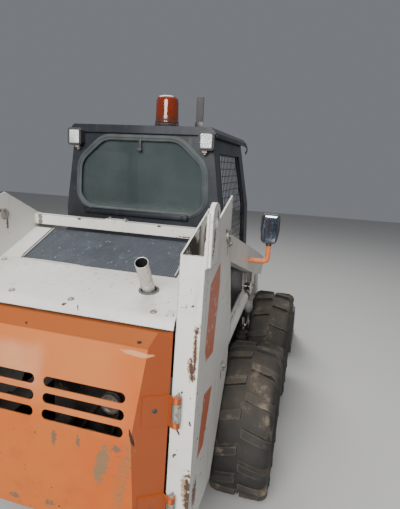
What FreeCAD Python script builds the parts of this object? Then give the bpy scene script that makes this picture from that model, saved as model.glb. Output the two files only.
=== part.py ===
import FreeCAD, Part
import math
import os
import Sketcher

# Compact skid steer loader with an open-fronted cab, lift arms on rear uprights,
# a hinged tail door and a bucket. Millimetres, X forward, Y to the left, Z up.
# Lengths along X are measured from the uprights' rear face, and origin_x moves
# them so that the model's origin lies in the middle of its length, on the ground.

SIZES = {
    "origin_x": 1590.0,
    "running_gap": 5.0,
    "seat_gap": 0.3,
    "pin_gap": 0.05,
    "sink": 1.0,
    "cut_over": 2.0,
    # uprights
    "cab_to_upright": 52.0,
    "upright_wide": 91.0,
    "plate": 8.0,
    "upright_foot_z": 400.0,
    "upright_top_z": 1509.0,
    "upright_lean": 0.063,
    "lean_from_z": 900.0,
    "peak_in_x": 390.0,
    "peak_in_z": 1633.0,
    "peak_out_x": 434.0,
    "peak_out_z": 1690.0,
    "corner_out_z": 1557.0,
    "belly_x": 570.0,
    "belly_top_z": 1125.0,
    "belly_low_z": 830.0,
    "tuck_x": 441.0,
    "tuck_z": 617.0,
    "foot_front_x": 326.0,
    "lug_rear_x": 40.0,
    "lug_wide": 96.0,
    "lug_foot_z": 1470.0,
    "lug_top_z": 1688.0,
    "lug_hole": 20.0,
    "lug_thick": 18.0,
    "lug_eye_drop": 20.0,
    # cross beam between the uprights
    "beam_rear_x": 602.0,
    "beam_deep": 38.0,
    "beam_low_z": 1454.0,
    "beam_top_z": 1507.0,
    "beam_wall": 6.0,
    "tab_y": 35.0,
    "tab_wide": 112.0,
    "tab_high": 7.0,
    # lower frame
    "cab_over_tub": 15.0,
    "tub_rear_x": 60.0,
    "tub_front_x": 2030.0,
    "tub_low_z": 206.0,
    "tub_top_z": 640.0,
    "chain_case": 120.0,
    "tub_plate": 12.0,
    "tail_rise_x": 300.0,
    "tail_rise_z": 330.0,
    "tail_lip_low_z": 430.0,
    "nose_rise_x": 1950.0,
    "nose_rise_z": 290.0,
    "tail_rail_z": 405.0,
    "tail_rail_high": 60.0,
    "tail_rail_deep": 120.0,
    "gusset_front_x": 330.0,
    "gusset_drop": 40.0,
    # engine block
    "engine_rear_x": 310.0,
    "engine_long": 380.0,
    "engine_half": 210.0,
    "engine_top_z": 1040.0,
    # tail sheet and top grille
    "sheet": 5.0,
    "tail_lip_x": -4.0,
    "tail_lip_z": 1243.0,
    "tail_bend_x": 12.0,
    "tail_bend_z": 1280.0,
    "tail_bend_radius": 28.0,
    "grille_flange": 16.0,
    "grille_flange_thick": 4.0,
    "grille_rear_x": 340.0,
    "grille_rear_z": 1330.0,
    "grille_front_x": 596.0,
    "grille_front_z": 1438.0,
    "grille_from_post": 112.0,
    "stub_x": 231.0,
    "stub_y": -324.0,
    "stub_bend_z": 1265.0,
    "stub_end_x": 79.0,
    "stub_end_y": -346.0,
    "stub_end_z": 1450.0,
    "stub_round": 45.0,
    "stub_bore": 130.0,
    "stub_hole_x": 196.0,
    "stub_hole_y": -329.0,
    "stub_hole": 38.0,
    "stub_radius": 25.0,
    "stub_wall": 3.0,
    "silencer_radius": 70.0,
    "silencer_long": 330.0,
    "silencer_beyond": 45.0,
    # tail door
    "door_top": 334.0,
    "door_fold": 280.0,
    "door_kink": -60.0,
    "door_low": -480.0,
    "door_stand_off": 10.0,
    "door_top_deep": 39.0,
    "door_fold_deep": 56.0,
    "door_kink_deep": 82.0,
    "door_low_deep": 68.0,
    "door_bevel": 112.0,
    "door_wall": 4.0,
    "strap_long": 84.0,
    "strap_thick": 6.0,
    "slot_count": 3,
    "slot_inner_y": 20.0,
    "slot_edge": 32.0,
    "slot_radius": 20.0,
    "slot_top": 82.0,
    "slot_pitch": 64.0,
    "hinge_stand_off": 18.0,
    "hinge_from_post": 28.0,
    "hinge_block": 21.0,
    "hinge_radius": 14.0,
    "hinge_pin": 7.0,
    "hinge_long": 116.0,
    "hinge_barrel": 72.0,
    "hinge_high": 40.0,
    "hinge_low": -358.0,
    # cab
    "cab_half": 455.0,
    "cab_wall": 30.0,
    "cab_rear_x": 820.0,
    "cab_sill_x": 700.0,
    "cab_sill_z": 1300.0,
    "cab_waist_z": 1420.0,
    "cab_taper_z": 1540.0,
    "cab_lean_in": 59.0,
    "cab_roof_z": 1994.0,
    "roof_thick": 40.0,
    "roof_over": 20.0,
    "roof_bevel": 26.0,
    "roof_rear_x": 800.0,
    "roof_lip_x": 1730.0,
    "cab_front_x": 1900.0,
    "cab_knee_z": 950.0,
    "roof_front_x": 1600.0,
    "screen_rear_x": 930.0,
    "screen_low_z": 1180.0,
    "screen_top_z": 1870.0,
    "screen_front_low_x": 1700.0,
    "screen_front_top_x": 1510.0,
    "glass": 6.0,
    "window_low_z": 1535.0,
    "window_low_rail": 153.0,
    "window_wide_z": 1595.0,
    "window_wide_rail": 71.0,
    "window_shoulder_z": 1800.0,
    "window_shoulder_rail": 52.0,
    "window_top_z": 1930.0,
    "window_top_rail": 176.0,
    # seat and controls
    "seat_rear_x": 925.0,
    "seat_long": 460.0,
    "seat_half": 235.0,
    "seat_low_z": 930.0,
    "seat_thick": 110.0,
    "back_high": 430.0,
    "back_thick": 95.0,
    "back_lean": 30.0,
    "seat_pan_thick": 60.0,
    "seat_pan_back": 40.0,
    "cushion_round": 28.0,
    "lever_x": 1560.0,
    "lever_top_z": 1180.0,
    "lever_radius": 11.0,
    "grip_radius": 18.0,
    "grip_long": 110.0,
    "bar_radius": 16.0,
    "bar_boss": 22.0,
    "bar_bend": 70.0,
    "bar_rear_x": 885.0,
    "bar_rear_z": 1515.0,
    "bar_front_x": 1420.0,
    "bar_front_z": 1240.0,
    # lamps, beacon, roof bar, mirror
    "lamp_from_edge": 21.0,
    "lamp_wide": 82.0,
    "lamp_high": 92.0,
    "lamp_z": 1925.0,
    "lamp_deep": 46.0,
    "lamp_frame": 16.0,
    "lamp_back": 56.0,
    "lamp_corner": 10.0,
    "beacon_x": 1206.0,
    "beacon_high": 212.0,
    "beacon_radius": 75.0,
    "beacon_base": 46.0,
    "beacon_foot": 58.0,
    "beacon_crown": 24.0,
    "beacon_draft": 8.0,
    "beacon_crown_half": 50.0,
    "rod_bar_x": 960.0,
    "rod_bar_high": 166.0,
    "rod_bar_in": 136.0,
    "rod_bar_wide": 40.0,
    "rod_bar_thick": 8.0,
    "mirror_x": 1130.0,
    "mirror_reach": 111.0,
    "mirror_wide": 110.0,
    "mirror_high": 178.0,
    "mirror_deep": 40.0,
    "mirror_z": 1462.0,
    "mirror_stem": 11.0,
    "mirror_corner": 24.0,
    "mirror_foot_half": 38.0,
    "mirror_foot_z": 1262.0,
    # wheels
    "rear_axle_x": 846.0,
    "wheelbase": 1034.0,
    "tyre_radius": 415.0,
    "wheel_room": 15.0,
    "tyre_wide": 305.0,
    "lug_deep": 22.0,
    "lug_count": 15,
    "lug_wide_along": 38.0,
    "lug_skew": 46.0,
    "lug_middle": 10.0,
    "bead_half": 124.0,
    "shoulder_drop": 26.0,
    "shoulder_in": 30.0,
    "side_drop": 96.0,
    "rim_radius": 209.0,
    "rim_wall": 8.0,
    "spindle_radius": 45.0,
    "axle_tube": 72.0,
    "hub_radius": 95.0,
    "hub_cap": 46.0,
    "disc_out": 32.0,
    "disc_thick": 12.0,
    "disc_rim_in": 4.0,
    "disc_rim_out": 16.0,
    "axle_room": 10.0,
    "spindle_in": 70.0,
    "flange_in": 20.0,
    # lift arms
    "arm_room": 14.0,
    "leg_lap": 13.0,
    "leg_wide": 72.0,
    "pivot_x": 373.0,
    "pivot_z": 1528.0,
    "pivot_boss": 60.0,
    "pivot_pin": 25.0,
    "pin_head": 6.0,
    "arm_top_rear_z": 1553.0,
    "arm_low_rear_z": 1434.0,
    "elbow_x": 1918.0,
    "elbow_z": 1080.0,
    "elbow_reach": 60.0,
    "elbow_drop": 90.0,
    "elbow_nose_drop": 20.0,
    "elbow_flare": 20.0,
    "arm_top_front_x": 1850.0,
    "arm_top_front_z": 1142.0,
    "arm_low_front_x": 1440.0,
    "arm_low_front_z": 1095.0,
    "leg_half": 55.0,
    "attach_x": 2440.0,
    "attach_z": 175.0,
    "attach_boss": 58.0,
    "attach_pin": 24.0,
    "cross_x": 2072.0,
    "cross_z": 633.0,
    "cross_radius": 38.0,
    "cross_boss": 60.0,
    "cheek": 10.0,
    # lift cylinders
    "lift_base_x": 450.0,
    "lift_base_z": 900.0,
    "lift_eye_x": 1400.0,
    "lift_eye_z": 1005.0,
    "lift_bore": 32.0,
    "lift_rod": 19.0,
    "lift_barrel_long": 800.0,
    "lift_eye_radius": 34.0,
    "lift_pin": 20.0,
    "lift_eye_wide": 34.0,
    "lift_inset": 60.0,
    "lift_cheek_rear": 70.0,
    "lift_cheek_front": 90.0,
    "lift_cheek_half": 45.0,
    "lift_cheek_high": 30.0,
    "lift_cheek_rise": 5.0,
    "lift_side_gap": 2.0,
    "ram_overlap": 6.0,
    "ram_end_wall": 30.0,
    # tilt cylinders
    "tilt_base_x": 2000.0,
    "tilt_base_z": 980.0,
    "tilt_eye_x": 2350.0,
    "tilt_eye_z": 330.0,
    "tilt_bore": 30.0,
    "tilt_rod": 15.5,
    "tilt_barrel_long": 560.0,
    "tilt_eye_radius": 32.0,
    "tilt_pin": 14.0,
    "tilt_eye_wide": 34.0,
    "tilt_inset": 120.0,
    "tilt_from_leg": 57.0,
    "tilt_web_front": 30.0,
    "tilt_web_rear": 50.0,
    "tilt_web_low": 60.0,
    "tilt_web_slope": 40.0,
    "tilt_pin_over": 4.0,
    "tilt_horn_gap": 10.0,
    # quick attach frame and bucket
    "attach_front_x": 2521.0,
    "attach_low_z": 70.0,
    "attach_top_z": 470.0,
    "attach_plate": 14.0,
    "attach_beyond": 26.0,
    "ear": 14.0,
    "ear_rear": 40.0,
    "ear_half_high": 30.0,
    "ear_rise": 130.0,
    "horn": 12.0,
    "horn_rear": 28.0,
    "horn_half": 20.0,
    "horn_front": 10.0,
    "horn_wide": 34.0,
    "horn_low": 60.0,
    "latch_y": 250.0,
    "latch_radius": 9.0,
    "latch_high": 110.0,
    "latch_half": 30.0,
    "bucket_tip_x": 3278.0,
    "bucket_half": 863.5,
    "bucket_top_z": 480.0,
    "bucket_wall": 9.0,
    "bucket_heel": 110.0,
    "edge_long": 150.0,
    "edge_thick": 18.0,
    "edge_bevel": 40.0,
    "edge_nose": 4.0,
    "bucket_lip": 60.0,
    "bucket_lip_rise": 30.0,
    "cheek_top_x": 250.0,
    "cheek_top_drop": 60.0,
    "heel_round": 60.0,
}

# Widths that follow the cab's width or one another, as formulas of the sheet.
FORMULAS = {
    "tub_half": "cab_half - cab_over_tub",
    "cab_top_half": "cab_half - cab_lean_in",
    "roof_half": "cab_top_half + roof_over",
    "cab_lean": "cab_lean_in / (cab_roof_z - roof_thick - cab_taper_z)",
    "window_low_half": "cab_half - window_low_rail",
    "window_wide_half": "cab_half - cab_lean * (window_wide_z - cab_taper_z) - window_wide_rail",
    "window_shoulder_half": "cab_half - cab_lean * (window_shoulder_z - cab_taper_z) - window_shoulder_rail",
    "window_top_half": "cab_top_half - window_top_rail",
    "lamp_y": "cab_top_half - lamp_from_edge",
    "beacon_top_z": "cab_roof_z + beacon_high",
    "rod_bar_top_z": "cab_roof_z + rod_bar_high",
    "rod_bar_y": "-(roof_half - rod_bar_in)",
    "upright_in": "cab_half + cab_to_upright",
    "upright_out": "upright_in + upright_wide",
    "grille_half": "upright_in - grille_from_post",
    "door_side": "upright_in - running_gap",
    "door_kink_half": "door_side - door_bevel",
    "slot_long": "door_kink_half - slot_inner_y - slot_edge",
    "door_hinge_y": "-(upright_in + hinge_from_post)",
    "arm_in": "upright_in + arm_room",
    "arm_out": "upright_out - arm_room",
    "mirror_y": "-(arm_out + mirror_reach)",
    "leg_out": "arm_in + leg_lap",
    "leg_in": "leg_out - leg_wide",
    "tilt_y": "leg_in - tilt_from_leg",
    "attach_half": "leg_out + attach_beyond",
    "tyre_out_y": "leg_out + wheel_room + tyre_wide",
}

document = FreeCAD.newDocument("skid_steer_loader")
sheet = document.addObject("Spreadsheet::Sheet", "Sizes")
cells = [(name, str(value)) for name, value in SIZES.items()]
cells += [(name, "=" + formula) for name, formula in FORMULAS.items()]
for row, (name, content) in enumerate(cells, start=1):
    sheet.set("A" + str(row), name)
    sheet.set("B" + str(row), content)
    sheet.setAlias("B" + str(row), name)
document.recompute()
LENGTHS = {name: float(sheet.get(name)) for name, content in cells}


class Size:
    """A length with the sheet expression that gives it, so that sums stay bound to the sheet."""

    def __init__(self, value, words):
        self.value = float(value)
        self.words = words

    def joined(self, other, sign, value):
        return Size(value, "(" + self.words + " " + sign + " " + words_of(other) + ")")

    def __add__(self, other):
        return self.joined(other, "+", self.value + number(other))

    def __sub__(self, other):
        return self.joined(other, "-", self.value - number(other))

    def __mul__(self, other):
        return self.joined(other, "*", self.value * number(other))

    def __truediv__(self, other):
        return self.joined(other, "/", self.value / number(other))

    def __radd__(self, other):
        return Size(other, words_of(other)) + self

    def __rsub__(self, other):
        return Size(other, words_of(other)) - self

    def __rmul__(self, other):
        return Size(other, words_of(other)) * self

    def __neg__(self):
        return Size(-self.value, "(-1 * " + self.words + ")")


def number(length):
    return length.value if isinstance(length, Size) else float(length)


def words_of(length):
    return length.words if isinstance(length, Size) else repr(float(length))


class Sheet:
    """Gives each named cell as a Size."""

    def __getattr__(self, name):
        return Size(LENGTHS[name], "Sizes." + name)


s = Sheet()
nodes = {}


def bind(target, path, length):
    target.setExpression(path, words_of(length))


def place(piece, x=0.0, y=0.0, z=0.0):
    """Puts a piece by its distance from the uprights' rear face, the middle plane and the ground."""
    bind(piece, "Placement.Base.x", x - s.origin_x)
    bind(piece, "Placement.Base.y", y)
    bind(piece, "Placement.Base.z", z)
    return piece


def keep(piece, name):
    piece.Label = name
    nodes[name] = piece
    return piece


def new_body(name):
    piece = document.addObject("PartDesign::Body", "body_" + name)
    return keep(piece, name)


def new_sketch(body, plane="XZ_Plane", offset=0.0):
    """A sketch on one of the body's own origin planes, lifted along the plane's normal."""
    sketch = body.newObject("Sketcher::SketchObject", "outline")
    support = [item for item in body.Origin.OriginFeatures if item.Role == plane][0]
    sketch.AttachmentSupport = [(support, "")]
    sketch.MapMode = "FlatFace"
    if number(offset) != 0.0:
        bind(sketch, "AttachmentOffset.Base.z", offset)
    return sketch


def hold(sketch, kind, geometry, point, length):
    index = sketch.addConstraint(Sketcher.Constraint(kind, -1, 1, geometry, point, number(length)))
    bind(sketch, "Constraints[" + str(index) + "]", length)


def polygon(sketch, corners):
    """A closed outline through corners, each held by its two distances from the sketch's origin."""
    first = sketch.GeometryCount
    count = len(corners)
    for step in range(count):
        start = corners[step]
        end = corners[(step + 1) % count]
        sketch.addGeometry(Part.LineSegment(
            FreeCAD.Vector(number(start[0]), number(start[1]), 0),
            FreeCAD.Vector(number(end[0]), number(end[1]), 0)))
    for step in range(count):
        following = first + (step + 1) % count
        sketch.addConstraint(Sketcher.Constraint("Coincident", first + step, 2, following, 1))
    for step, corner in enumerate(corners):
        hold(sketch, "DistanceX", first + step, 1, corner[0])
        hold(sketch, "DistanceY", first + step, 1, corner[1])


def circle(sketch, across, up, radius):
    middle = FreeCAD.Vector(number(across), number(up), 0)
    index = sketch.addGeometry(Part.Circle(middle, FreeCAD.Vector(0, 0, 1), number(radius)))
    hold(sketch, "DistanceX", index, 3, across)
    hold(sketch, "DistanceY", index, 3, up)
    held = sketch.addConstraint(Sketcher.Constraint("Radius", index, number(radius)))
    bind(sketch, "Constraints[" + str(held) + "]", radius)


def slot(sketch, across, up, long, radius):
    """A level slot with round ends, held by its two end centres and its radius."""
    reach = long / 2 - radius
    ends = (across - reach, across + reach)
    arcs = []
    for end, turn in zip(ends, (90, -90)):
        middle = FreeCAD.Vector(number(end), number(up), 0)
        whole = Part.Circle(middle, FreeCAD.Vector(0, 0, 1), number(radius))
        start = math.radians(turn)
        arcs.append(sketch.addGeometry(Part.ArcOfCircle(whole, start, start + math.pi)))
    left, right = number(ends[0]), number(ends[1])
    low, high = number(up) - number(radius), number(up) + number(radius)
    top = sketch.addGeometry(Part.LineSegment(
        FreeCAD.Vector(right, high, 0), FreeCAD.Vector(left, high, 0)))
    bottom = sketch.addGeometry(Part.LineSegment(
        FreeCAD.Vector(left, low, 0), FreeCAD.Vector(right, low, 0)))
    for one, other in ((arcs[1], top), (top, arcs[0]), (arcs[0], bottom), (bottom, arcs[1])):
        sketch.addConstraint(Sketcher.Constraint("Tangent", one, 2, other, 1))
    sketch.addConstraint(Sketcher.Constraint("Equal", arcs[0], arcs[1]))
    for arc, end in zip(arcs, ends):
        hold(sketch, "DistanceX", arc, 3, end)
        hold(sketch, "DistanceY", arc, 3, up)
    held = sketch.addConstraint(Sketcher.Constraint("Radius", arcs[0], number(radius)))
    bind(sketch, "Constraints[" + str(held) + "]", radius)


def pad(body, sketch, thick):
    """Adds a plate of this thickness, half on each side of its sketch."""
    feature = body.newObject("PartDesign::Pad", "plate")
    feature.Profile = sketch
    feature.SideType = "Symmetric"
    bind(feature, "Length", thick)
    body.Tip = feature
    return feature


def cut_through(body, sketch, length):
    """Cuts the sketch out, half of the length on each side of it."""
    feature = body.newObject("PartDesign::Pocket", "cut")
    feature.Profile = sketch
    feature.SideType = "Symmetric"
    bind(feature, "Length", length)
    body.Tip = feature
    return feature


def round_edges(body, places, radius):
    """Rounds the edges that run along Y through these (x, z) places of the body."""
    document.recompute()
    tip = body.Tip
    picked = []
    for index, edge in enumerate(tip.Shape.Edges, start=1):
        ends = [vertex.Point for vertex in edge.Vertexes]
        if len(ends) != 2 or abs(ends[0].y - ends[1].y) < 2:
            continue
        for x, z in places:
            spot = (number(x), number(z))
            if all(math.hypot(end.x - spot[0], end.z - spot[1]) < 0.1 for end in ends):
                picked.append("Edge" + str(index))
    feature = body.newObject("PartDesign::Fillet", "round")
    feature.Base = (tip, picked)
    bind(feature, "Radius", radius)
    body.Tip = feature
    return feature


def plate_body(name, corners, thick, y, holes=()):
    """A plate that stands fore and aft: an outline in X and Z with round holes, padded along Y."""
    body = new_body(name)
    sketch = new_sketch(body)
    polygon(sketch, corners)
    for hole in holes:
        circle(sketch, *hole)
    pad(body, sketch, thick)
    place(body, y=y)
    return body


def offset_plate(body, corners, thick, y, holes=()):
    """Another fore and aft plate of the same body, at its own distance from the body's plane."""
    sketch = new_sketch(body, "XZ_Plane", -y if isinstance(y, Size) else -float(y))
    polygon(sketch, corners)
    for hole in holes:
        circle(sketch, *hole)
    return pad(body, sketch, thick)


def revolve(body, corners):
    """Turns an outline of (along Y, radius) round the body's Y axis."""
    sketch = new_sketch(body, "YZ_Plane")
    polygon(sketch, corners)
    feature = body.newObject("PartDesign::Revolution", "turned")
    feature.Profile = sketch
    feature.ReferenceAxis = (sketch, ["H_Axis"])
    feature.Angle = 360.0
    body.Tip = feature
    return feature


def box(x, y, z):
    """A box from its (low, high) pair along each axis, with X from the uprights' rear face."""
    block = document.addObject("Part::Box", "block")
    for side, (low, high) in zip(("Length", "Width", "Height"), (x, y, z)):
        bind(block, side, high - low)
    place(block, x[0], y[0], z[0])
    return block


def cylinder(radius, long, x, y, z, axis="Z"):
    """A cylinder from the middle of one end, along +Z, +X or +Y."""
    rod = document.addObject("Part::Cylinder", "round")
    bind(rod, "Radius", radius)
    bind(rod, "Height", long)
    turns = {"Z": (FreeCAD.Vector(0, 0, 1), 0), "X": (FreeCAD.Vector(0, 1, 0), 90),
             "Y": (FreeCAD.Vector(1, 0, 0), -90)}
    rod.Placement = FreeCAD.Placement(FreeCAD.Vector(), FreeCAD.Rotation(*turns[axis]))
    place(rod, x, y, z)
    return rod


def fused(name, pieces):
    joined = document.addObject("Part::MultiFuse", "joined")
    joined.Shapes = pieces
    return keep(joined, name) if name else joined


def cut(name, base, tool):
    rest = document.addObject("Part::Cut", "rest")
    rest.Base = base
    rest.Tool = tool
    return keep(rest, name) if name else rest


def grouped(name, pieces):
    group = document.addObject("Part::Compound", "group")
    group.Links = pieces
    return keep(group, name)


def leaning(z):
    """X of the uprights' rear face at this height."""
    return s.upright_lean * (z - s.lean_from_z)


SIDES = (("left", 1), ("right", -1))


def lower_frame():
    """Tub between the wheels: chain cases and floor, open on top, with a rail and gussets at the tail."""
    plate = s.tub_plate
    hull = [
        (s.tub_rear_x, s.tub_top_z), (s.tub_rear_x, s.tail_rise_z), (s.tail_rise_x, s.tub_low_z),
        (s.nose_rise_x, s.tub_low_z), (s.tub_front_x, s.nose_rise_z), (s.tub_front_x, s.tub_top_z)]
    body = new_body("main_frame")
    offset_plate(body, hull, s.tub_half * 2, 0.0)
    well = new_sketch(body)
    polygon(well, [
        (s.tub_rear_x - s.sink, s.tub_top_z + s.sink), (s.tub_rear_x - s.sink, s.tail_lip_low_z),
        (s.tub_rear_x + plate, s.tail_lip_low_z), (s.tub_rear_x + plate, s.tail_rise_z + plate / 2),
        (s.tail_rise_x + plate / 4, s.tub_low_z + plate), (s.nose_rise_x - plate / 2, s.tub_low_z + plate),
        (s.tub_front_x - plate, s.nose_rise_z + plate / 2),
        (s.tub_front_x - plate, s.tub_top_z + s.sink)])
    cut_through(body, well, (s.tub_half - s.chain_case) * 2)
    reach = s.upright_in - s.seat_gap
    rail_rear = s.tub_rear_x - s.tail_rail_deep / 2
    rail = [
        (rail_rear, s.tail_rail_z), (rail_rear + s.tail_rail_deep, s.tail_rail_z),
        (rail_rear + s.tail_rail_deep, s.tail_rail_z + s.tail_rail_high),
        (rail_rear, s.tail_rail_z + s.tail_rail_high)]
    offset_plate(body, rail, reach * 2, 0.0)
    gusset = [
        (s.tub_rear_x, s.tail_rail_z), (s.gusset_front_x, s.tail_rail_z),
        (s.gusset_front_x, s.tub_top_z - s.gusset_drop), (s.tub_rear_x, s.tub_top_z - s.gusset_drop)]
    wide = reach - s.tub_half + s.sink
    for turn in (-1, 1):
        offset_plate(body, gusset, wide, turn * (reach - wide / 2))
    place(body)


def upright(name, side):
    """Folded and welded post: inner and outer plates, the rear face between them, and a lug."""
    foot, top = s.upright_foot_z, s.upright_top_z
    inner = [
        (leaning(foot), foot), (s.foot_front_x, foot), (s.tuck_x, s.tuck_z),
        (s.belly_x, s.belly_low_z), (s.belly_x, s.belly_top_z),
        (s.beam_rear_x + s.beam_deep, s.beam_low_z), (s.beam_rear_x + s.beam_deep, s.beam_top_z),
        (s.peak_in_x, s.peak_in_z), (leaning(top), top)]
    outer = [
        (leaning(foot), foot), (s.foot_front_x, foot), (s.tuck_x, s.tuck_z),
        (s.belly_x, s.belly_low_z), (s.belly_x, s.belly_top_z), (s.peak_out_x, s.pivot_z),
        (s.peak_out_x, s.peak_out_z), (leaning(s.corner_out_z), s.corner_out_z)]
    holes = [(s.pivot_x, s.pivot_z, s.pivot_pin + s.pin_gap),
             (s.lift_base_x, s.lift_base_z, s.lift_pin + s.pin_gap)]
    rear = [(leaning(foot), foot), (leaning(foot) + s.plate, foot),
            (leaning(top) + s.plate, top), (leaning(top), top)]
    body = new_body("upright_" + name)
    offset_plate(body, inner, s.plate, side * (s.upright_in + s.plate / 2), holes)
    offset_plate(body, rear, s.upright_out - s.upright_in, side * (s.upright_out + s.upright_in) / 2)
    offset_plate(body, outer, s.plate, side * (s.upright_out - s.plate / 2), holes)
    rise = s.lug_top_z - s.lug_wide / 2
    middle = s.lug_rear_x + s.lug_wide / 2
    post = [(s.lug_rear_x, s.lug_foot_z), (s.lug_rear_x + s.lug_wide, s.lug_foot_z),
            (s.lug_rear_x + s.lug_wide, rise), (s.lug_rear_x, rise)]
    lug_y = side * (s.upright_out + s.lug_thick / 2)
    offset_plate(body, post, s.lug_thick, lug_y)
    round_end = new_sketch(body, "XZ_Plane", -lug_y)
    circle(round_end, middle, rise, s.lug_wide / 2)
    pad(body, round_end, s.lug_thick)
    eye = new_sketch(body, "XZ_Plane", -lug_y)
    circle(eye, middle, rise - s.lug_eye_drop, s.lug_hole)
    cut_through(body, eye, s.lug_thick + s.cut_over)
    place(body)


def cross_beam():
    """Folded channel between the uprights' inner plates, open below, with a bolted tab on top."""
    reach = s.upright_in - s.seat_gap
    front = s.beam_rear_x + s.beam_deep
    wall = s.beam_wall
    channel = [
        (s.beam_rear_x, s.beam_low_z), (s.beam_rear_x + wall, s.beam_low_z),
        (s.beam_rear_x + wall, s.beam_top_z - wall), (front - wall, s.beam_top_z - wall),
        (front - wall, s.beam_low_z), (front, s.beam_low_z),
        (front, s.beam_top_z), (s.beam_rear_x, s.beam_top_z)]
    body = plate_body("upright_beam", channel, reach * 2, 0.0)
    tab = [(s.beam_rear_x, s.beam_top_z), (front, s.beam_top_z),
           (front, s.beam_top_z + s.tab_high), (s.beam_rear_x, s.beam_top_z + s.tab_high)]
    offset_plate(body, tab, s.tab_wide, s.tab_y)


def engine():
    """Engine, pump and cooler as one block on the tub's floor."""
    floor = s.tub_low_z + s.tub_plate + s.seat_gap
    keep(box((s.engine_rear_x, s.engine_rear_x + s.engine_long), (-s.engine_half, s.engine_half),
             (floor, s.engine_top_z)), "engine_block")


def tail_panel():
    """Folded sheet behind the cab: a rolled lip over the door, and a slope cut out for the grille."""
    thick = s.sheet
    run = [(s.tail_lip_x, s.tail_lip_z), (s.tail_bend_x, s.tail_bend_z),
           (s.grille_rear_x, s.grille_rear_z), (s.grille_front_x, s.grille_front_z)]
    under = [(x, z - thick) for x, z in reversed(run[1:])]
    under.append((s.tail_lip_x + thick, s.tail_lip_z))
    body = plate_body("tail_panel", run + under, (s.upright_in - s.seat_gap) * 2, 0.0)
    round_edges(body, [run[1]], s.tail_bend_radius)
    round_edges(body, [(s.tail_bend_x, s.tail_bend_z - thick)], s.tail_bend_radius - thick)
    opening = new_sketch(body, "XY_Plane", s.grille_front_z)
    edge = s.grille_half + s.seat_gap
    beyond = s.grille_front_x + s.cut_over
    polygon(opening, [(s.grille_rear_x, -edge), (beyond, -edge), (beyond, edge), (s.grille_rear_x, edge)])
    slope_high = s.grille_front_z - s.tail_lip_z
    cut_through(body, opening, slope_high * 2)
    stub_hole = new_sketch(body, "XY_Plane", s.grille_rear_z)
    circle(stub_hole, s.stub_hole_x, s.stub_hole_y, s.stub_hole)
    cut_through(body, stub_hole, slope_high)


def top_grille():
    """Pan over the cooler, in the slope between the tail panel and the cross beam, with side flanges."""
    rear_x, front_x = s.grille_rear_x + s.seat_gap, s.grille_front_x
    rise = s.grille_flange
    skin = [(rear_x, s.grille_rear_z), (front_x, s.grille_front_z),
            (front_x, s.grille_front_z - s.sheet), (rear_x, s.grille_rear_z - s.sheet)]
    body = plate_body("top_grille", skin, s.grille_half * 2, 0.0)
    flange = [(rear_x, s.grille_rear_z), (rear_x + rise, s.grille_rear_z + rise),
              (front_x, s.grille_front_z + rise / 2), (front_x, s.grille_front_z)]
    for turn in (-1, 1):
        offset_plate(body, flange, s.grille_flange_thick, turn * (s.grille_half - s.grille_flange_thick / 2))


def exhaust_stub():
    """Silencer that lies across the engine, and an open pipe that leans back through the tail panel."""
    middle = s.engine_top_z + s.seat_gap + s.silencer_radius
    along_x = s.engine_rear_x + s.silencer_radius
    silencer = cylinder(s.silencer_radius, s.silencer_long, along_x,
                        s.stub_y - s.stub_radius - s.silencer_beyond, middle, "Y")
    link = cylinder(s.stub_radius, along_x - s.stub_x, s.stub_x, s.stub_y, middle, "X")
    origin, radius = LENGTHS["origin_x"], LENGTHS["stub_radius"]
    foot = FreeCAD.Vector(LENGTHS["stub_x"] - origin, LENGTHS["stub_y"], number(middle) - radius)
    corner = FreeCAD.Vector(foot.x, foot.y, LENGTHS["stub_bend_z"])
    end = FreeCAD.Vector(LENGTHS["stub_end_x"] - origin, LENGTHS["stub_end_y"], LENGTHS["stub_end_z"])
    down, along = (foot - corner).normalize(), (end - corner).normalize()
    swing = math.pi - down.getAngle(along)
    tangent = LENGTHS["stub_round"] * math.tan(swing / 2)
    to_middle = LENGTHS["stub_round"] / math.cos(swing / 2)
    inward = (down + along).normalize()
    nearest = corner + inward * (to_middle - LENGTHS["stub_round"])
    elbow = Part.Arc(corner + down * tangent, nearest, corner + along * tangent).toShape()
    path = Part.Wire([Part.makeLine(foot, corner + down * tangent), elbow,
                      Part.makeLine(corner + along * tangent, end)])
    section = Part.Wire(Part.makeCircle(radius, foot, down))
    outside = document.addObject("Part::Feature", "pipe")
    outside.Shape = path.makePipeShell([section], True, False)
    inside = document.addObject("Part::Feature", "bore")
    bore_radius = radius - LENGTHS["stub_wall"]
    inside.Shape = Part.makeCylinder(bore_radius, LENGTHS["stub_bore"], end, -along)
    cut("exhaust_stub", fused(None, [silencer, link, outside]), inside)


def lean_place(piece, x=0.0, y=0.0, up=0.0):
    """Puts a piece in the uprights' leaning frame: x off their rear face, up along that face."""
    cosine = Size(1 / math.hypot(1, LENGTHS["upright_lean"]), "(1 / sqrt(1 + Sizes.upright_lean ^ 2))")
    sine = cosine * s.upright_lean
    piece.Placement = FreeCAD.Placement(FreeCAD.Vector(), FreeCAD.Rotation(FreeCAD.Vector(0, 1, 0), 1))
    piece.setExpression("Placement.Rotation.Angle", "atan(Sizes.upright_lean)")
    return place(piece, cosine * x + sine * up, y, s.lean_from_z + cosine * up - sine * x)


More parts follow.
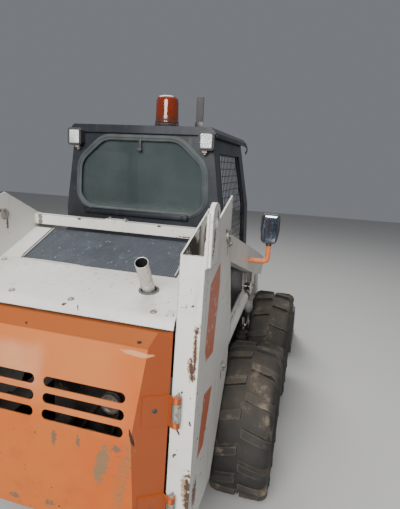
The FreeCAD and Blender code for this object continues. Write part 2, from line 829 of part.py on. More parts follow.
def door_solid(inset):
    """The door's outer form, or the space inside its sheet: a folded profile with bevelled sides."""
    body = document.addObject("PartDesign::Body", "door_form")
    front = inset - s.door_stand_off
    side = s.door_side - inset
    kink = inset - s.door_kink_deep
    profile = new_sketch(body)
    polygon(profile, [
        (front, s.door_low + inset), (front, s.door_top - inset),
        (inset - s.door_top_deep, s.door_top - inset), (inset - s.door_fold_deep, s.door_fold),
        (kink, s.door_kink), (inset - s.door_low_deep, s.door_low + inset)])
    pad(body, profile, side * 2)
    deep = s.door_kink_deep - s.door_stand_off
    run = (s.door_side - s.door_kink_half) / deep
    beyond, aside = deep, s.door_stand_off * 2
    for turn in (-1, 1):
        corner = new_sketch(body, "XY_Plane")
        polygon(corner, [
            (inset - s.door_stand_off, turn * side),
            (kink - beyond, turn * (side - run * (deep + beyond))),
            (kink - beyond, turn * (side + aside)), (inset - s.door_stand_off, turn * (side + aside))])
        cut_through(body, corner, (s.door_top - s.door_low) * 2)
    return body


def hinge_round(radius, long, up):
    """A round piece on the door's hinge line, from this far up it."""
    piece = document.addObject("Part::Cylinder", "knuckle")
    bind(piece, "Radius", radius)
    bind(piece, "Height", long)
    return lean_place(piece, -s.hinge_stand_off, s.door_hinge_y, up)


def rear_door():
    """Pressed tail door: an open-fronted shell with bevelled sides, slots and two hinge straps."""
    outer = door_solid(0.0)
    slots = new_sketch(outer, "YZ_Plane", -s.door_kink_deep)
    for side in (-1, 1):
        for step in range(SIZES["slot_count"]):
            slot(slots, side * (s.slot_inner_y + s.slot_long / 2), s.slot_top - s.slot_pitch * step,
                 s.slot_long, s.slot_radius)
    cut_through(outer, slots, s.door_kink_deep - s.door_stand_off)
    lean_place(outer)
    inner = lean_place(door_solid(s.door_wall))
    pieces = [cut(None, outer, inner)]
    knuckle = (s.hinge_long - s.hinge_barrel) / 2
    for up in (s.hinge_high, s.hinge_low):
        strap = hinge_strap(up, s.hinge_long)
        room = hinge_round(s.hinge_radius + s.running_gap, s.hinge_barrel, up - s.hinge_barrel / 2)
        pieces.append(cut(None, strap, room))
        for low in (-s.hinge_long / 2, s.hinge_barrel / 2):
            outside = hinge_round(s.hinge_radius, knuckle - s.seat_gap, up + low + s.seat_gap / 2)
            bore = hinge_round(s.hinge_pin + s.pin_gap, knuckle + s.cut_over, up + low - s.sink)
            pieces.append(cut(None, outside, bore))
    fused("rear_door", pieces)


def hinge_strap(up, high):
    """Plate that lies on the door's bevelled side and runs to the hinge line, this high."""
    strap = document.addObject("PartDesign::Body", "strap")
    sketch = new_sketch(strap, "XY_Plane", up)
    line, edge = -s.hinge_stand_off, -s.door_stand_off
    slope = (s.door_kink_deep - s.door_stand_off) / (s.door_side - s.door_kink_half)
    run, thick = s.strap_long, s.strap_thick
    polygon(sketch, [
        (line - s.hinge_radius + s.sink, s.door_hinge_y),
        (line - s.hinge_pin - s.sink, s.door_hinge_y + thick),
        (edge + s.sink, -s.door_side), (edge + s.sink - run * slope, run - s.door_side),
        (edge + s.sink - run * slope - thick, run - thick * slope - s.door_side),
        (edge - thick, -s.door_side), (line - s.hinge_radius, s.door_hinge_y + thick)])
    pad(strap, sketch, high)
    return lean_place(strap)


def door_hinges():
    """Fixed halves of the door's hinges: a barrel on a block, and the pin through it, on the upright."""
    pieces = []
    for up in (s.hinge_high, s.hinge_low):
        long = s.hinge_barrel - s.seat_gap
        low = up - long / 2
        block = document.addObject("Part::Box", "block")
        bind(block, "Length", s.hinge_stand_off - s.seat_gap)
        bind(block, "Width", s.hinge_block)
        bind(block, "Height", long)
        lean_place(block, -s.hinge_stand_off, s.door_hinge_y - s.hinge_block / 2, low)
        pieces.append(fused(None, [
            hinge_round(s.hinge_pin, s.hinge_long, up - s.hinge_long / 2),
            hinge_round(s.hinge_radius, long, low), block]))
    grouped("door_hinges", pieces)


def cab_foot():
    """Height of the cab's lower edge, just over the lower frame."""
    return s.tub_top_z + s.seat_gap


def cab_inside(z_share):
    """Half width inside the cab: at the taper's foot for 0, under the roof for 1."""
    half = s.cab_half - (s.cab_half - s.cab_top_half) * z_share
    return half - s.cab_wall - s.seat_gap


def cab_side(name, side):
    """Cab side wall that leans in above the waist, with its front edge raked and a window opening."""
    low, top = cab_foot(), s.cab_roof_z - s.roof_thick - s.seat_gap
    wall = s.cab_wall
    body = new_body("cab_side_" + name)
    section = new_sketch(body, "YZ_Plane", (s.cab_sill_x + s.cab_front_x) / 2)
    polygon(section, [
        (side * s.cab_half, low), (side * s.cab_half, s.cab_taper_z), (side * s.cab_top_half, top),
        (side * (s.cab_top_half - wall), top), (side * (s.cab_half - wall), s.cab_taper_z),
        (side * (s.cab_half - wall), low)])
    pad(body, section, s.cab_front_x - s.cab_sill_x)
    beyond = wall * 2
    window = [
        (s.screen_rear_x, s.screen_low_z), (s.screen_front_low_x, s.screen_low_z),
        (s.screen_front_top_x, s.screen_top_z), (s.screen_rear_x, s.screen_top_z)]
    rake = [
        (s.cab_front_x + beyond, s.cab_knee_z), (s.cab_front_x, s.cab_knee_z), (s.roof_front_x, top),
        (s.roof_front_x, top + beyond), (s.cab_front_x + beyond, top + beyond)]
    shelf = [
        (s.cab_sill_x - beyond, s.cab_sill_z), (s.cab_sill_x, s.cab_sill_z), (s.cab_rear_x, s.cab_waist_z),
        (s.cab_rear_x, top + beyond), (s.cab_sill_x - beyond, top + beyond)]
    for outline in (window, rake, shelf):
        cut_sketch = new_sketch(body)
        polygon(cut_sketch, outline)
        cut_through(body, cut_sketch, s.cab_half * 2 + s.cut_over)
    place(body)


def cab_rear():
    """Rear wall between the cab sides, with an eight-cornered window opening with rounded corners."""
    wall = s.cab_wall
    top = s.cab_roof_z - s.roof_thick - s.seat_gap
    corners = [
        (s.cab_rear_x, top), (s.cab_rear_x, s.cab_waist_z), (s.cab_sill_x, s.cab_sill_z),
        (s.cab_sill_x, cab_foot()), (s.cab_sill_x + wall, cab_foot()),
        (s.cab_sill_x + wall, s.cab_sill_z - wall / 2), (s.cab_rear_x + wall, s.cab_waist_z - wall / 2),
        (s.cab_rear_x + wall, top)]
    body = plate_body("cab_rear", corners, cab_inside(0) * 2, 0.0)
    opening = new_sketch(body, "YZ_Plane", s.cab_rear_x)
    window_outline(opening, 0.0)
    cut_through(body, opening, s.cab_wall * 2 + s.cut_over)
    beyond = s.cab_wall
    for turn in (-1, 1):
        side_cut = new_sketch(body, "YZ_Plane", s.cab_rear_x)
        polygon(side_cut, [
            (turn * cab_inside(0), s.cab_taper_z), (turn * cab_inside(1), top),
            (turn * cab_inside(1), top + beyond), (turn * (cab_inside(0) + beyond), top + beyond),
            (turn * (cab_inside(0) + beyond), s.cab_taper_z)])
        cut_through(body, side_cut, s.cab_wall * 2 + s.cut_over)


def window_outline(sketch, inset):
    """Eight-cornered rear window: half widths at four heights, drawn in by an inset."""
    levels = [
        (s.window_low_half, s.window_low_z + inset), (s.window_wide_half, s.window_wide_z),
        (s.window_shoulder_half, s.window_shoulder_z), (s.window_top_half, s.window_top_z - inset)]
    right = [(half - inset, z) for half, z in levels]
    left = [(-half, z) for half, z in reversed(right)]
    polygon(sketch, right + left)


def rear_window():
    body = new_body("rear_window")
    sketch = new_sketch(body, "YZ_Plane", s.cab_rear_x + s.cab_wall / 2)
    window_outline(sketch, s.seat_gap)
    pad(body, sketch, s.glass)
    place(body)


def cab_roof():
    """Roof panel that overhangs the side walls and the open front, its long edges bevelled."""
    low = s.cab_roof_z - s.roof_thick
    bevel = s.roof_bevel
    section = [
        (-s.roof_half, low), (s.roof_half, low), (s.roof_half, s.cab_roof_z - bevel),
        (s.roof_half - bevel, s.cab_roof_z), (bevel - s.roof_half, s.cab_roof_z),
        (-s.roof_half, s.cab_roof_z - bevel)]
    body = new_body("cab_roof")
    sketch = new_sketch(body, "YZ_Plane", (s.roof_rear_x + s.roof_lip_x) / 2)
    polygon(sketch, section)
    pad(body, sketch, s.roof_lip_x - s.roof_rear_x)
    place(body)


def seat():
    """Seat pan on the cab's rear wall, with a cushion and a backrest on it."""
    rear, front = s.seat_rear_x, s.seat_rear_x + s.seat_long
    pan_rear = s.cab_sill_x + s.cab_wall + s.seat_gap
    inside = cab_inside(0)
    keep(box((pan_rear, front - s.seat_pan_back), (-inside, inside),
             (s.seat_low_z - s.seat_pan_thick, s.seat_low_z)), "seat_pan")
    top = s.seat_low_z + s.seat_gap
    back_low = top + s.seat_thick + s.seat_gap
    lean = s.back_lean
    cushion = [(rear, top), (front, top), (front, top + s.seat_thick), (rear, top + s.seat_thick)]
    back = [
        (rear, back_low), (rear + s.back_thick, back_low),
        (rear + s.back_thick - lean, back_low + s.back_high), (rear - lean, back_low + s.back_high)]
    pieces = []
    for outline, rounded in ((cushion, (1, 2, 3)), (back, (1, 2, 3))):
        body = document.addObject("PartDesign::Body", "pad")
        offset_plate(body, outline, s.seat_half * 2, 0.0)
        round_edges(body, [outline[index] for index in rounded], s.cushion_round)
        pieces.append(place(body))
    grouped("seat_cushions", pieces)


def control_levers():
    """Two steering levers that stand on the chain cases, each with a round grip."""
    pieces = []
    low = s.tub_top_z + s.seat_gap
    for turn in (-1, 1):
        y = turn * (s.tub_half - s.chain_case / 2)
        stick = cylinder(s.lever_radius, s.lever_top_z - low, s.lever_x, y, low)
        grip = cylinder(s.grip_radius, s.grip_long, s.lever_x, y, s.lever_top_z - s.grip_long / 2)
        pieces.append(fused(None, [stick, grip]))
    grouped("control_levers", pieces)


def lap_bar():
    """Bent tube over the operator's lap: two arms from bosses on the cab's sides and a bar across."""
    tube, bend = LENGTHS["bar_radius"], LENGTHS["bar_bend"]
    half = LENGTHS["cab_half"] - LENGTHS["cab_wall"] - LENGTHS["seat_gap"] - tube - LENGTHS["sink"]
    origin = LENGTHS["origin_x"]
    rear = FreeCAD.Vector(LENGTHS["bar_rear_x"] - origin, 0, LENGTHS["bar_rear_z"])
    front = FreeCAD.Vector(LENGTHS["bar_front_x"] - origin, 0, LENGTHS["bar_front_z"])
    back, aside = (rear - front).normalize(), FreeCAD.Vector(0, 1, 0)
    edges = []
    for turn in (1, -1):
        outward = aside * turn
        top, corner = rear + outward * half, front + outward * half
        middle = corner + (back - outward) * bend
        nearest = middle - (back - outward).normalize() * bend
        elbow = Part.Arc(corner + back * bend, nearest, corner - outward * bend).toShape()
        edges += [Part.makeLine(top, corner + back * bend), elbow]
    edges.insert(2, Part.makeLine(front + aside * (half - bend), front - aside * (half - bend)))
    path = Part.Wire(Part.__sortEdges__(edges))
    section = Part.Wire(Part.makeCircle(tube, rear + aside * half, back))
    shape = path.makePipeShell([section], True, False)
    boss_long = tube * 2 + LENGTHS["sink"]
    for turn in (1, -1):
        inner = rear + aside * (turn * (half - tube))
        shape = shape.fuse(Part.makeCylinder(LENGTHS["bar_boss"], boss_long, inner, aside * turn))
    bar = document.addObject("Part::Feature", "bar")
    bar.Shape = shape
    keep(bar, "lap_bar")


def work_lamps():
    """Square work lamps high on the cab's rear wall: a framed lens on a smaller housing."""
    pieces = []
    face = s.cab_rear_x - s.seat_gap
    corner = s.lamp_corner
    for turn in (-1, 1):
        y = turn * s.lamp_y
        body = document.addObject("PartDesign::Body", "lamp")
        half, high = s.lamp_wide / 2, s.lamp_high / 2
        frame = new_sketch(body, "YZ_Plane", face - s.lamp_deep + s.lamp_frame / 2)
        polygon(frame, [
            (y - half, s.lamp_z + corner - high), (y - half + corner, s.lamp_z - high),
            (y + half - corner, s.lamp_z - high), (y + half, s.lamp_z + corner - high),
            (y + half, s.lamp_z + high - corner), (y + half - corner, s.lamp_z + high),
            (y - half + corner, s.lamp_z + high), (y - half, s.lamp_z + high - corner)])
        pad(body, frame, s.lamp_frame)
        back = new_sketch(body, "YZ_Plane", face - s.lamp_deep / 2)
        small = s.lamp_back / 2
        inner = y - turn * (half - small)
        polygon(back, [
            (inner - small, s.lamp_z - small), (inner + small, s.lamp_z - small),
            (inner + small, s.lamp_z + small), (inner - small, s.lamp_z + small)])
        pad(body, back, s.lamp_deep)
        pieces.append(place(body))
    grouped("work_lamps", pieces)


def beacon():
    """Flashing beacon: a round base and a domed cover on the roof."""
    body = new_body("beacon")
    base = s.cab_roof_z + s.seat_gap
    top = s.beacon_top_z - base
    radius = s.beacon_radius
    sketch = new_sketch(body, "XZ_Plane")
    polygon(sketch, [
        (0.0, 0.0), (s.beacon_foot, 0.0), (s.beacon_foot, s.beacon_base / 2), (radius, s.beacon_base),
        (radius - s.beacon_draft, top - s.beacon_crown), (s.beacon_crown_half, top), (0.0, top)])
    turned = body.newObject("PartDesign::Revolution", "turned")
    turned.Profile = sketch
    turned.ReferenceAxis = (sketch, ["V_Axis"])
    turned.Angle = 360.0
    body.Tip = turned
    place(body, s.beacon_x, 0.0, base)


def roof_bar():
    """Flat bar that stands on the roof behind the beacon."""
    y = s.rod_bar_y
    keep(box((s.rod_bar_x, s.rod_bar_x + s.rod_bar_thick),
             (y - s.rod_bar_wide / 2, y + s.rod_bar_wide / 2),
             (s.cab_roof_z + s.seat_gap, s.rod_bar_top_z)), "roof_bar")


def mirror():
    """Mirror on the right lift arm: a shallow housing that narrows to its foot, on a round stem."""
    half, corner = s.mirror_wide / 2, s.mirror_corner
    low, high = s.mirror_z - s.mirror_high / 2, s.mirror_z + s.mirror_high / 2
    foot = s.mirror_foot_half
    head = document.addObject("PartDesign::Body", "head")
    sketch = new_sketch(head, "YZ_Plane", s.mirror_x)
    y = s.mirror_y
    polygon(sketch, [
        (y - foot, low), (y + foot, low), (y + half, low + corner * 2), (y + half, high - corner),
        (y + half - corner, high), (y + corner - half, high), (y - half, high - corner),
        (y - half, low + corner * 2)])
    pad(head, sketch, s.mirror_deep)
    place(head)
    stem = cylinder(s.mirror_stem, s.mirror_z - s.mirror_foot_z, s.mirror_x, y, s.mirror_foot_z)
    reach = cylinder(s.mirror_stem, -s.arm_out - y, s.mirror_x, y, s.mirror_foot_z, "Y")
    fused("mirror", [head, stem, reach])


def wheel_places():
    for axle, x in (("rear", s.rear_axle_x), ("front", s.rear_axle_x + s.wheelbase)):
        for name, side in SIDES:
            yield axle + "_" + name, side, x


def tyre_shape():
    """Tyre with bar lugs that run in from each shoulder, the two rows half a pitch apart."""
    radius, count = LENGTHS["tyre_radius"], SIZES["lug_count"]
    half, bead = LENGTHS["tyre_wide"] / 2, LENGTHS["bead_half"]
    seat = LENGTHS["rim_radius"] + LENGTHS["seat_gap"]
    tread = radius - LENGTHS["lug_deep"]
    drop, shoulder = LENGTHS["shoulder_drop"], LENGTHS["shoulder_in"]
    quarter = [(bead, seat), (half, tread - LENGTHS["side_drop"]), (half, tread - drop),
               (half - shoulder, tread)]
    outline = quarter + [(-y, r) for y, r in reversed(quarter)]
    step = math.pi / count
    faces = []
    for facet in range(count * 2):
        rings = []
        for angle in (step * (facet - 0.5), step * (facet + 0.5)):
            reach = 1 / math.cos(step / 2)
            rings.append([FreeCAD.Vector(r * reach * math.sin(angle), y, r * reach * math.cos(angle))
                          for y, r in outline])
        for index in range(len(outline)):
            after = (index + 1) % len(outline)
            corners = [rings[0][index], rings[1][index], rings[1][after], rings[0][after]]
            faces.append(Part.Face(Part.makePolygon(corners + corners[:1])))
    carcass = Part.Solid(Part.Shell(faces))
    wide, skew, low = LENGTHS["lug_wide_along"] / 2, LENGTHS["lug_skew"] / 2, tread - drop
    lugs = []
    for row in (-1, 1):
        near, far = row * LENGTHS["lug_middle"], row * (half - LENGTHS["sink"])
        for index in range(count):
            base = [FreeCAD.Vector(-wide - skew, near, low), FreeCAD.Vector(wide - skew, near, low),
                    FreeCAD.Vector(wide + skew, far, low), FreeCAD.Vector(skew - wide, far, low)]
            lug = Part.Face(Part.makePolygon(base + base[:1])).extrude(FreeCAD.Vector(0, 0, radius - low))
            angle = math.degrees(step) * (2 * index + (1 if row > 0 else 0))
            lug.rotate(FreeCAD.Vector(), FreeCAD.Vector(0, 1, 0), angle)
            lugs.append(lug)
    return carcass.fuse(lugs)


def tyres():
    whole = tyre_shape()
    turn = FreeCAD.Rotation(FreeCAD.Vector(0, 0, 1), 180)
    for name, side, x in wheel_places():
        tyre = document.addObject("Part::Feature", "tyre")
        tyre.Shape = whole
        y = side * (LENGTHS["tyre_out_y"] - LENGTHS["tyre_wide"] / 2)
        middle = FreeCAD.Vector(number(x) - LENGTHS["origin_x"], y, LENGTHS["tyre_radius"])
        tyre.Placement = FreeCAD.Placement(middle, FreeCAD.Rotation() if side > 0 else turn)
        keep(tyre, "tyre_" + name)


def rims():
    """Steel wheels: a rolled rim, a dished disc and the hub spindle that runs in the axle tube."""
    for name, side, x in wheel_places():
        body = new_body("rim_" + name)
        half = s.tyre_wide / 2
        revolve(body, rim_outline(side))
        place(body, x, side * (s.tyre_out_y - half), s.tyre_radius)


def rim_outline(side):
    """Half section of the wheel in its own plane: out along the rim, back along disc and spindle."""
    rim, wall, half = s.rim_radius, s.rim_wall, s.tyre_wide / 2
    flange = half - s.flange_in
    inner_end = s.tub_half + s.spindle_in - (s.tyre_out_y - half)
    disc = s.disc_out
    run = [
        (inner_end, 0.0), (inner_end, s.spindle_radius), (disc - s.disc_thick, s.spindle_radius),
        (disc - s.disc_thick, s.hub_radius), (s.disc_rim_in, rim - wall), (-flange, rim - wall),
        (-flange, rim), (flange, rim), (flange, rim - wall), (s.disc_rim_out, rim - wall),
        (disc, s.hub_radius), (s.hub_cap, s.spindle_radius), (s.hub_cap, 0.0)]
    return [(side * y, r) for y, r in run]


def axle_tubes():
    """Four axle housings that stand out of the chain cases and carry the wheel spindles."""
    pieces = []
    long = s.tyre_out_y - s.tyre_wide / 2 + s.disc_out - s.disc_thick - s.axle_room - s.tub_half
    start = s.tub_half + s.seat_gap
    bore_start = s.tub_half + s.spindle_in - s.cut_over
    for _name, side, x in wheel_places():
        low, bore_low = (start, bore_start) if side > 0 else (-start - long, -bore_start - long)
        tube = cylinder(s.axle_tube, long, x, low, s.tyre_radius, "Y")
        bore = cylinder(s.spindle_radius + s.pin_gap, long, x, bore_low, s.tyre_radius, "Y")
        pieces.append(cut(None, tube, bore))
    grouped("axle_tubes", pieces)


def lift_arm(name, side):
    """Lift arm: a tapered beam from the upright's pivot, and a front leg set in beside it."""
    body = new_body("lift_arm_" + name)
    beam = [
        (s.pivot_x, s.arm_top_rear_z), (s.pivot_x, s.arm_low_rear_z),
        (s.arm_low_front_x, s.arm_low_front_z), (s.elbow_x - s.elbow_reach, s.elbow_z - s.elbow_drop),
        (s.elbow_x + s.elbow_reach, s.elbow_z - s.elbow_nose_drop), (s.elbow_x, s.elbow_z + s.leg_half),
        (s.arm_top_front_x, s.arm_top_front_z)]
    wide = s.arm_out - s.arm_in
    middle = side * (s.arm_in + s.arm_out) / 2
    offset_plate(body, beam, wide, middle)
    half = s.leg_half
    leg = [
        (s.attach_x - half, s.attach_z), (s.attach_x + half, s.attach_z),
        (s.elbow_x + half + s.elbow_flare, s.elbow_z), (s.elbow_x, s.elbow_z + half),
        (s.elbow_x - half - s.elbow_flare, s.elbow_z)]
    leg_wide = s.leg_out - s.leg_in
    leg_middle = side * (s.leg_in + s.leg_out) / 2
    offset_plate(body, leg, leg_wide, leg_middle)
    web_rear, web_front = s.tilt_base_x - s.tilt_web_rear, s.tilt_base_x + s.tilt_web_front
    web_low, web_top = s.tilt_base_z - s.tilt_web_low, s.tilt_base_z + s.tilt_web_rear
    web = [(web_rear, web_low), (web_front, web_low), (web_front, web_top),
           (web_rear - s.tilt_web_slope, web_top)]
    offset_plate(body, web, leg_wide, leg_middle)
    cheek_low, cheek_half = s.lift_eye_z - s.lift_cheek_high, s.lift_cheek_half
    cheek = [
        (s.lift_eye_x - s.lift_cheek_rear, s.arm_low_front_z + s.lift_cheek_high),
        (s.lift_eye_x - cheek_half, cheek_low), (s.lift_eye_x + cheek_half, cheek_low),
        (s.lift_eye_x + s.lift_cheek_front, s.arm_low_front_z + s.lift_cheek_rise)]
    for y in (s.arm_in + s.cheek / 2, s.arm_out - s.cheek / 2):
        offset_plate(body, cheek, s.cheek, side * y)
    stub_from, stub_to = s.tilt_y - s.tilt_eye_wide / 2, s.leg_in + s.cheek
    rounds = (
        (s.pivot_x, s.pivot_z, s.pivot_boss, middle, wide),
        (s.attach_x, s.attach_z, s.attach_boss, leg_middle, leg_wide),
        (s.cross_x, s.cross_z, s.cross_boss, leg_middle, leg_wide),
        (s.tilt_base_x, s.tilt_base_z, s.tilt_pin, side * (stub_from + stub_to) / 2, stub_to - stub_from))
    for x, z, radius, y, thick in rounds:
        boss = new_sketch(body, "XZ_Plane", -y)
        circle(boss, x, z, radius)
        pad(body, boss, thick)
    bores = new_sketch(body, "XZ_Plane")
    circle(bores, s.pivot_x, s.pivot_z, s.pivot_pin + s.pin_gap)
    circle(bores, s.attach_x, s.attach_z, s.attach_pin + s.pin_gap)
    cut_through(body, bores, s.arm_out * 2 + s.cut_over)
    place(body)


def arm_cross_tube():
    """Round tube between the bosses of the two front legs."""
    reach = s.leg_in - s.seat_gap
    keep(cylinder(s.cross_radius, reach * 2, s.cross_x, -reach, s.cross_z, "Y"), "arm_cross_tube")


def pins():
    """Pins of the lift arms and of the lift cylinders' feet, through both plates of each upright."""
    pieces = []
    head = s.pin_head
    span = s.upright_out - s.upright_in + head * 2
    for turn in (-1, 1):
        low = s.upright_in - head if turn > 0 else -s.upright_out - head
        pieces.append(cylinder(s.pivot_pin, span, s.pivot_x, low, s.pivot_z, "Y"))
        pieces.append(cylinder(s.lift_pin, span, s.lift_base_x, low, s.lift_base_z, "Y"))
    grouped("upright_pins", pieces)


def ram(kind, name, y, pin_reach):
    """Cylinder barrel with its foot eye, and its rod with the eye and a short pin."""
    size = {key[len(kind) + 1:]: value for key, value in LENGTHS.items() if key.startswith(kind + "_")}
    sideways = FreeCAD.Vector(0, 1, 0)
    start = FreeCAD.Vector(size["base_x"] - LENGTHS["origin_x"], y, size["base_z"])
    end = FreeCAD.Vector(size["eye_x"] - LENGTHS["origin_x"], y, size["eye_z"])
    reach = (end - start).Length
    along = (end - start).normalize()
    ring, wide, gap = size["eye_radius"], size["eye_wide"], LENGTHS["pin_gap"]
    tube_from, hollow_from = ring - LENGTHS["ram_overlap"], ring + LENGTHS["ram_end_wall"]
    half_eye = sideways * (wide / 2)
    foot = Part.makeCylinder(ring, wide, start - half_eye, sideways)
    tube = Part.makeCylinder(size["bore"], size["barrel_long"], start + along * tube_from, along)
    hollow = Part.makeCylinder(size["rod"] + gap, size["barrel_long"], start + along * hollow_from, along)
    hole = Part.makeCylinder(size["pin"] + gap, wide * 2, start - half_eye * 2, sideways)
    barrel = foot.fuse(tube).cut(hollow).cut(hole)
    shaft_from = ring + size["inset"]
    shaft = Part.makeCylinder(size["rod"], reach - shaft_from - ring / 2, start + along * shaft_from, along)
    eye = Part.makeCylinder(ring, wide, end - half_eye, sideways)
    low, high = pin_reach
    stub = Part.makeCylinder(size["pin"], high - low, end + sideways * low, sideways)
    rod = shaft.fuse(eye).fuse(stub)
    for part_name, shape in (("barrel", barrel), ("rod", rod)):
        piece = document.addObject("Part::Feature", part_name)
        piece.Shape = shape.removeSplitter()
        keep(piece, kind + "_" + part_name + "_" + name)


def rams():
    """Lift rams inside the uprights and arms, tilt rams inboard of the front legs."""
    for name, side in SIDES:
        arm_half = (LENGTHS["arm_out"] - LENGTHS["arm_in"]) / 2
        reach = arm_half - LENGTHS["cheek"] - LENGTHS["lift_side_gap"]
        ram("lift", name, side * (LENGTHS["upright_in"] + LENGTHS["upright_out"]) / 2, (-reach, reach))
        eye_half = LENGTHS["tilt_eye_wide"] / 2
        inner = -eye_half - LENGTHS["tilt_pin_over"]
        outer = eye_half + LENGTHS["tilt_horn_gap"] - LENGTHS["seat_gap"]
        ram("tilt", name, side * LENGTHS["tilt_y"], (inner, outer) if side > 0 else (-outer, -inner))


def quick_attach():
    """Attachment frame: a plate, two ears at each arm with their pins, an ear for each ram, and latches."""
    rear = s.attach_front_x - s.attach_plate
    front = s.attach_front_x - s.seat_gap
    pieces = [box((rear, front), (-s.attach_half, s.attach_half), (s.attach_low_z, s.attach_top_z))]
    inside, ear_rear, ear_half = rear + s.cut_over, s.attach_x - s.ear_rear, s.ear_half_high
    ear = [
        (ear_rear, s.attach_z + ear_half), (ear_rear, s.attach_z - ear_half),
        (s.attach_x, s.attach_low_z + ear_half), (inside, s.attach_low_z),
        (inside, s.attach_z + s.ear_rise)]
    horn_rear, horn_front = s.tilt_eye_x - s.horn_rear, s.tilt_eye_x + s.horn_front
    horn = [
        (horn_rear, s.tilt_eye_z - s.horn_half), (horn_front, s.tilt_eye_z - s.horn_wide),
        (inside, s.attach_low_z + s.horn_low), (inside, s.attach_top_z - s.horn_half),
        (horn_front, s.tilt_eye_z + s.horn_wide), (horn_rear, s.tilt_eye_z + s.horn_half)]
    for _name, side in SIDES:
        for outline, thick, y in (
                (ear, s.ear, s.leg_in - s.running_gap - s.ear / 2),
                (ear, s.ear, s.leg_out + s.running_gap + s.ear / 2),
                (horn, s.horn, s.tilt_y + s.tilt_eye_wide / 2 + s.tilt_horn_gap + s.horn / 2)):
            plate = document.addObject("PartDesign::Body", "ear")
            sketch = new_sketch(plate)
            polygon(sketch, outline)
            pad(plate, sketch, thick)
            pieces.append(place(plate, y=side * y))
        beyond = s.running_gap + s.ear
        low = s.leg_in - beyond if side > 0 else -s.leg_out - beyond
        pieces.append(cylinder(s.attach_pin, s.leg_out - s.leg_in + beyond * 2, s.attach_x, low,
                               s.attach_z, "Y"))
        latch_y = side * s.latch_y
        foot = s.attach_top_z - s.sink
        pieces.append(cylinder(s.latch_radius, s.latch_high, rear - s.latch_radius * 2, latch_y, foot))
        pieces.append(box((rear - s.latch_radius * 4, inside),
                          (latch_y - s.latch_half, latch_y + s.latch_half),
                          (foot - s.latch_high, foot + s.cut_over)))
    fused("quick_attach", pieces)


def bucket():
    """Loader bucket: one bent sheet from the lip to the top edge, a cutting edge and two side plates."""
    wall = s.bucket_wall
    back, tip, top, heel = s.attach_front_x, s.bucket_tip_x, s.bucket_top_z, s.bucket_heel
    lip, rise = s.bucket_lip, s.bucket_lip_rise
    blade_rear = tip - s.edge_long
    corner = wall * math.tan(math.pi / 8)
    body = new_body("bucket")
    shell = [
        (blade_rear, 0.0), (back + heel, 0.0), (back, heel), (back, top), (back + lip, top + rise),
        (back + lip + wall, top + rise - wall), (back + wall, top - wall), (back + wall, heel + corner),
        (back + heel + corner, wall), (blade_rear, wall)]
    offset_plate(body, shell, s.bucket_half * 2, 0.0)
    round_edges(body, [shell[1], shell[2]], s.heel_round)
    round_edges(body, [shell[7], shell[8]], s.heel_round - wall)
    blade = [
        (tip, 0.0), (blade_rear, 0.0), (blade_rear, s.edge_thick), (tip - s.edge_bevel, s.edge_thick),
        (tip, s.edge_nose)]
    offset_plate(body, blade, s.bucket_half * 2, 0.0)
    cheek = [
        (blade_rear, 0.0), (back + heel, 0.0), (back, heel), (back, top), (back + lip, top + rise),
        (back + s.cheek_top_x, top - s.cheek_top_drop), (blade_rear + s.edge_bevel, s.edge_thick)]
    for side in (-1, 1):
        offset_plate(body, cheek, wall, side * (s.bucket_half - wall / 2))
    place(body)


def build():
    lower_frame()
    for name, side in SIDES:
        upright(name, side)
        cab_side(name, side)
        lift_arm(name, side)
    cross_beam()
    engine()
    tail_panel()
    top_grille()
    exhaust_stub()
    rear_door()
    door_hinges()
    cab_rear()
    rear_window()
    cab_roof()
    seat()
    control_levers()
    lap_bar()
    work_lamps()
    beacon()
    roof_bar()
    mirror()
    tyres()
    rims()
    axle_tubes()
    arm_cross_tube()
    pins()
    rams()
    quick_attach()
    bucket()


build()
document.recompute()
faults = []
for item in document.Objects:
    if "Invalid" in item.State or "Error" in item.State:
        faults.append(item.Label + " " + str(item.State))
for name, piece in nodes.items():
    if piece.Shape.isNull() or not piece.Shape.isValid():
        faults.append(name + " has no valid shape")
if faults:
    raise RuntimeError("; ".join(faults))
os.makedirs("parts", exist_ok=True)
whole = FreeCAD.BoundBox()
for name, piece in nodes.items():
    piece.Shape.exportStep("parts/" + name + ".step")
    whole.add(piece.Shape.BoundBox)
print(len(nodes), "nodes, box", [round(v, 1) for v in (
    whole.XMin, whole.XMax, whole.YMin, whole.YMax, whole.ZMin, whole.ZMax)])
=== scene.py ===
# %% [markdown]
# # A compact skid steer loader
# The machine's solids, sizes and joints come from the CAD frame. This notebook gives them their
# finishes, and adds the small things that a maker would bolt, glue, weld or press on.
# Lengths are in metres, X runs forward, Y to the left and Z up, as in the frame.

# %% Load the CAD frame
import functools
import math
import operator

import bmesh
import bpy
from mathutils import Matrix, Vector


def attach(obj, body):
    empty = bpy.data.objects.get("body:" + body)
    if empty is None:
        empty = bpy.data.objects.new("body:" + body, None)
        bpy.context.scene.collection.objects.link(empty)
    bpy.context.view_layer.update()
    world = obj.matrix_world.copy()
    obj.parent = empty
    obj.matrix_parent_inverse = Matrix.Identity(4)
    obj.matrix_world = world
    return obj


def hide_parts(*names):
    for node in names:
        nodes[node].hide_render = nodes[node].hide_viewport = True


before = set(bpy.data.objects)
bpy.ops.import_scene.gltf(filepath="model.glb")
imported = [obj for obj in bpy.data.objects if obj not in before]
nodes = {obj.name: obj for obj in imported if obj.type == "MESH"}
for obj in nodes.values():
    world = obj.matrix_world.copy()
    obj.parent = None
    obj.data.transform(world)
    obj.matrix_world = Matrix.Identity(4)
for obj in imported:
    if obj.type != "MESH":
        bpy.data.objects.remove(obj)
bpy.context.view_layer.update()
scene = bpy.context.scene


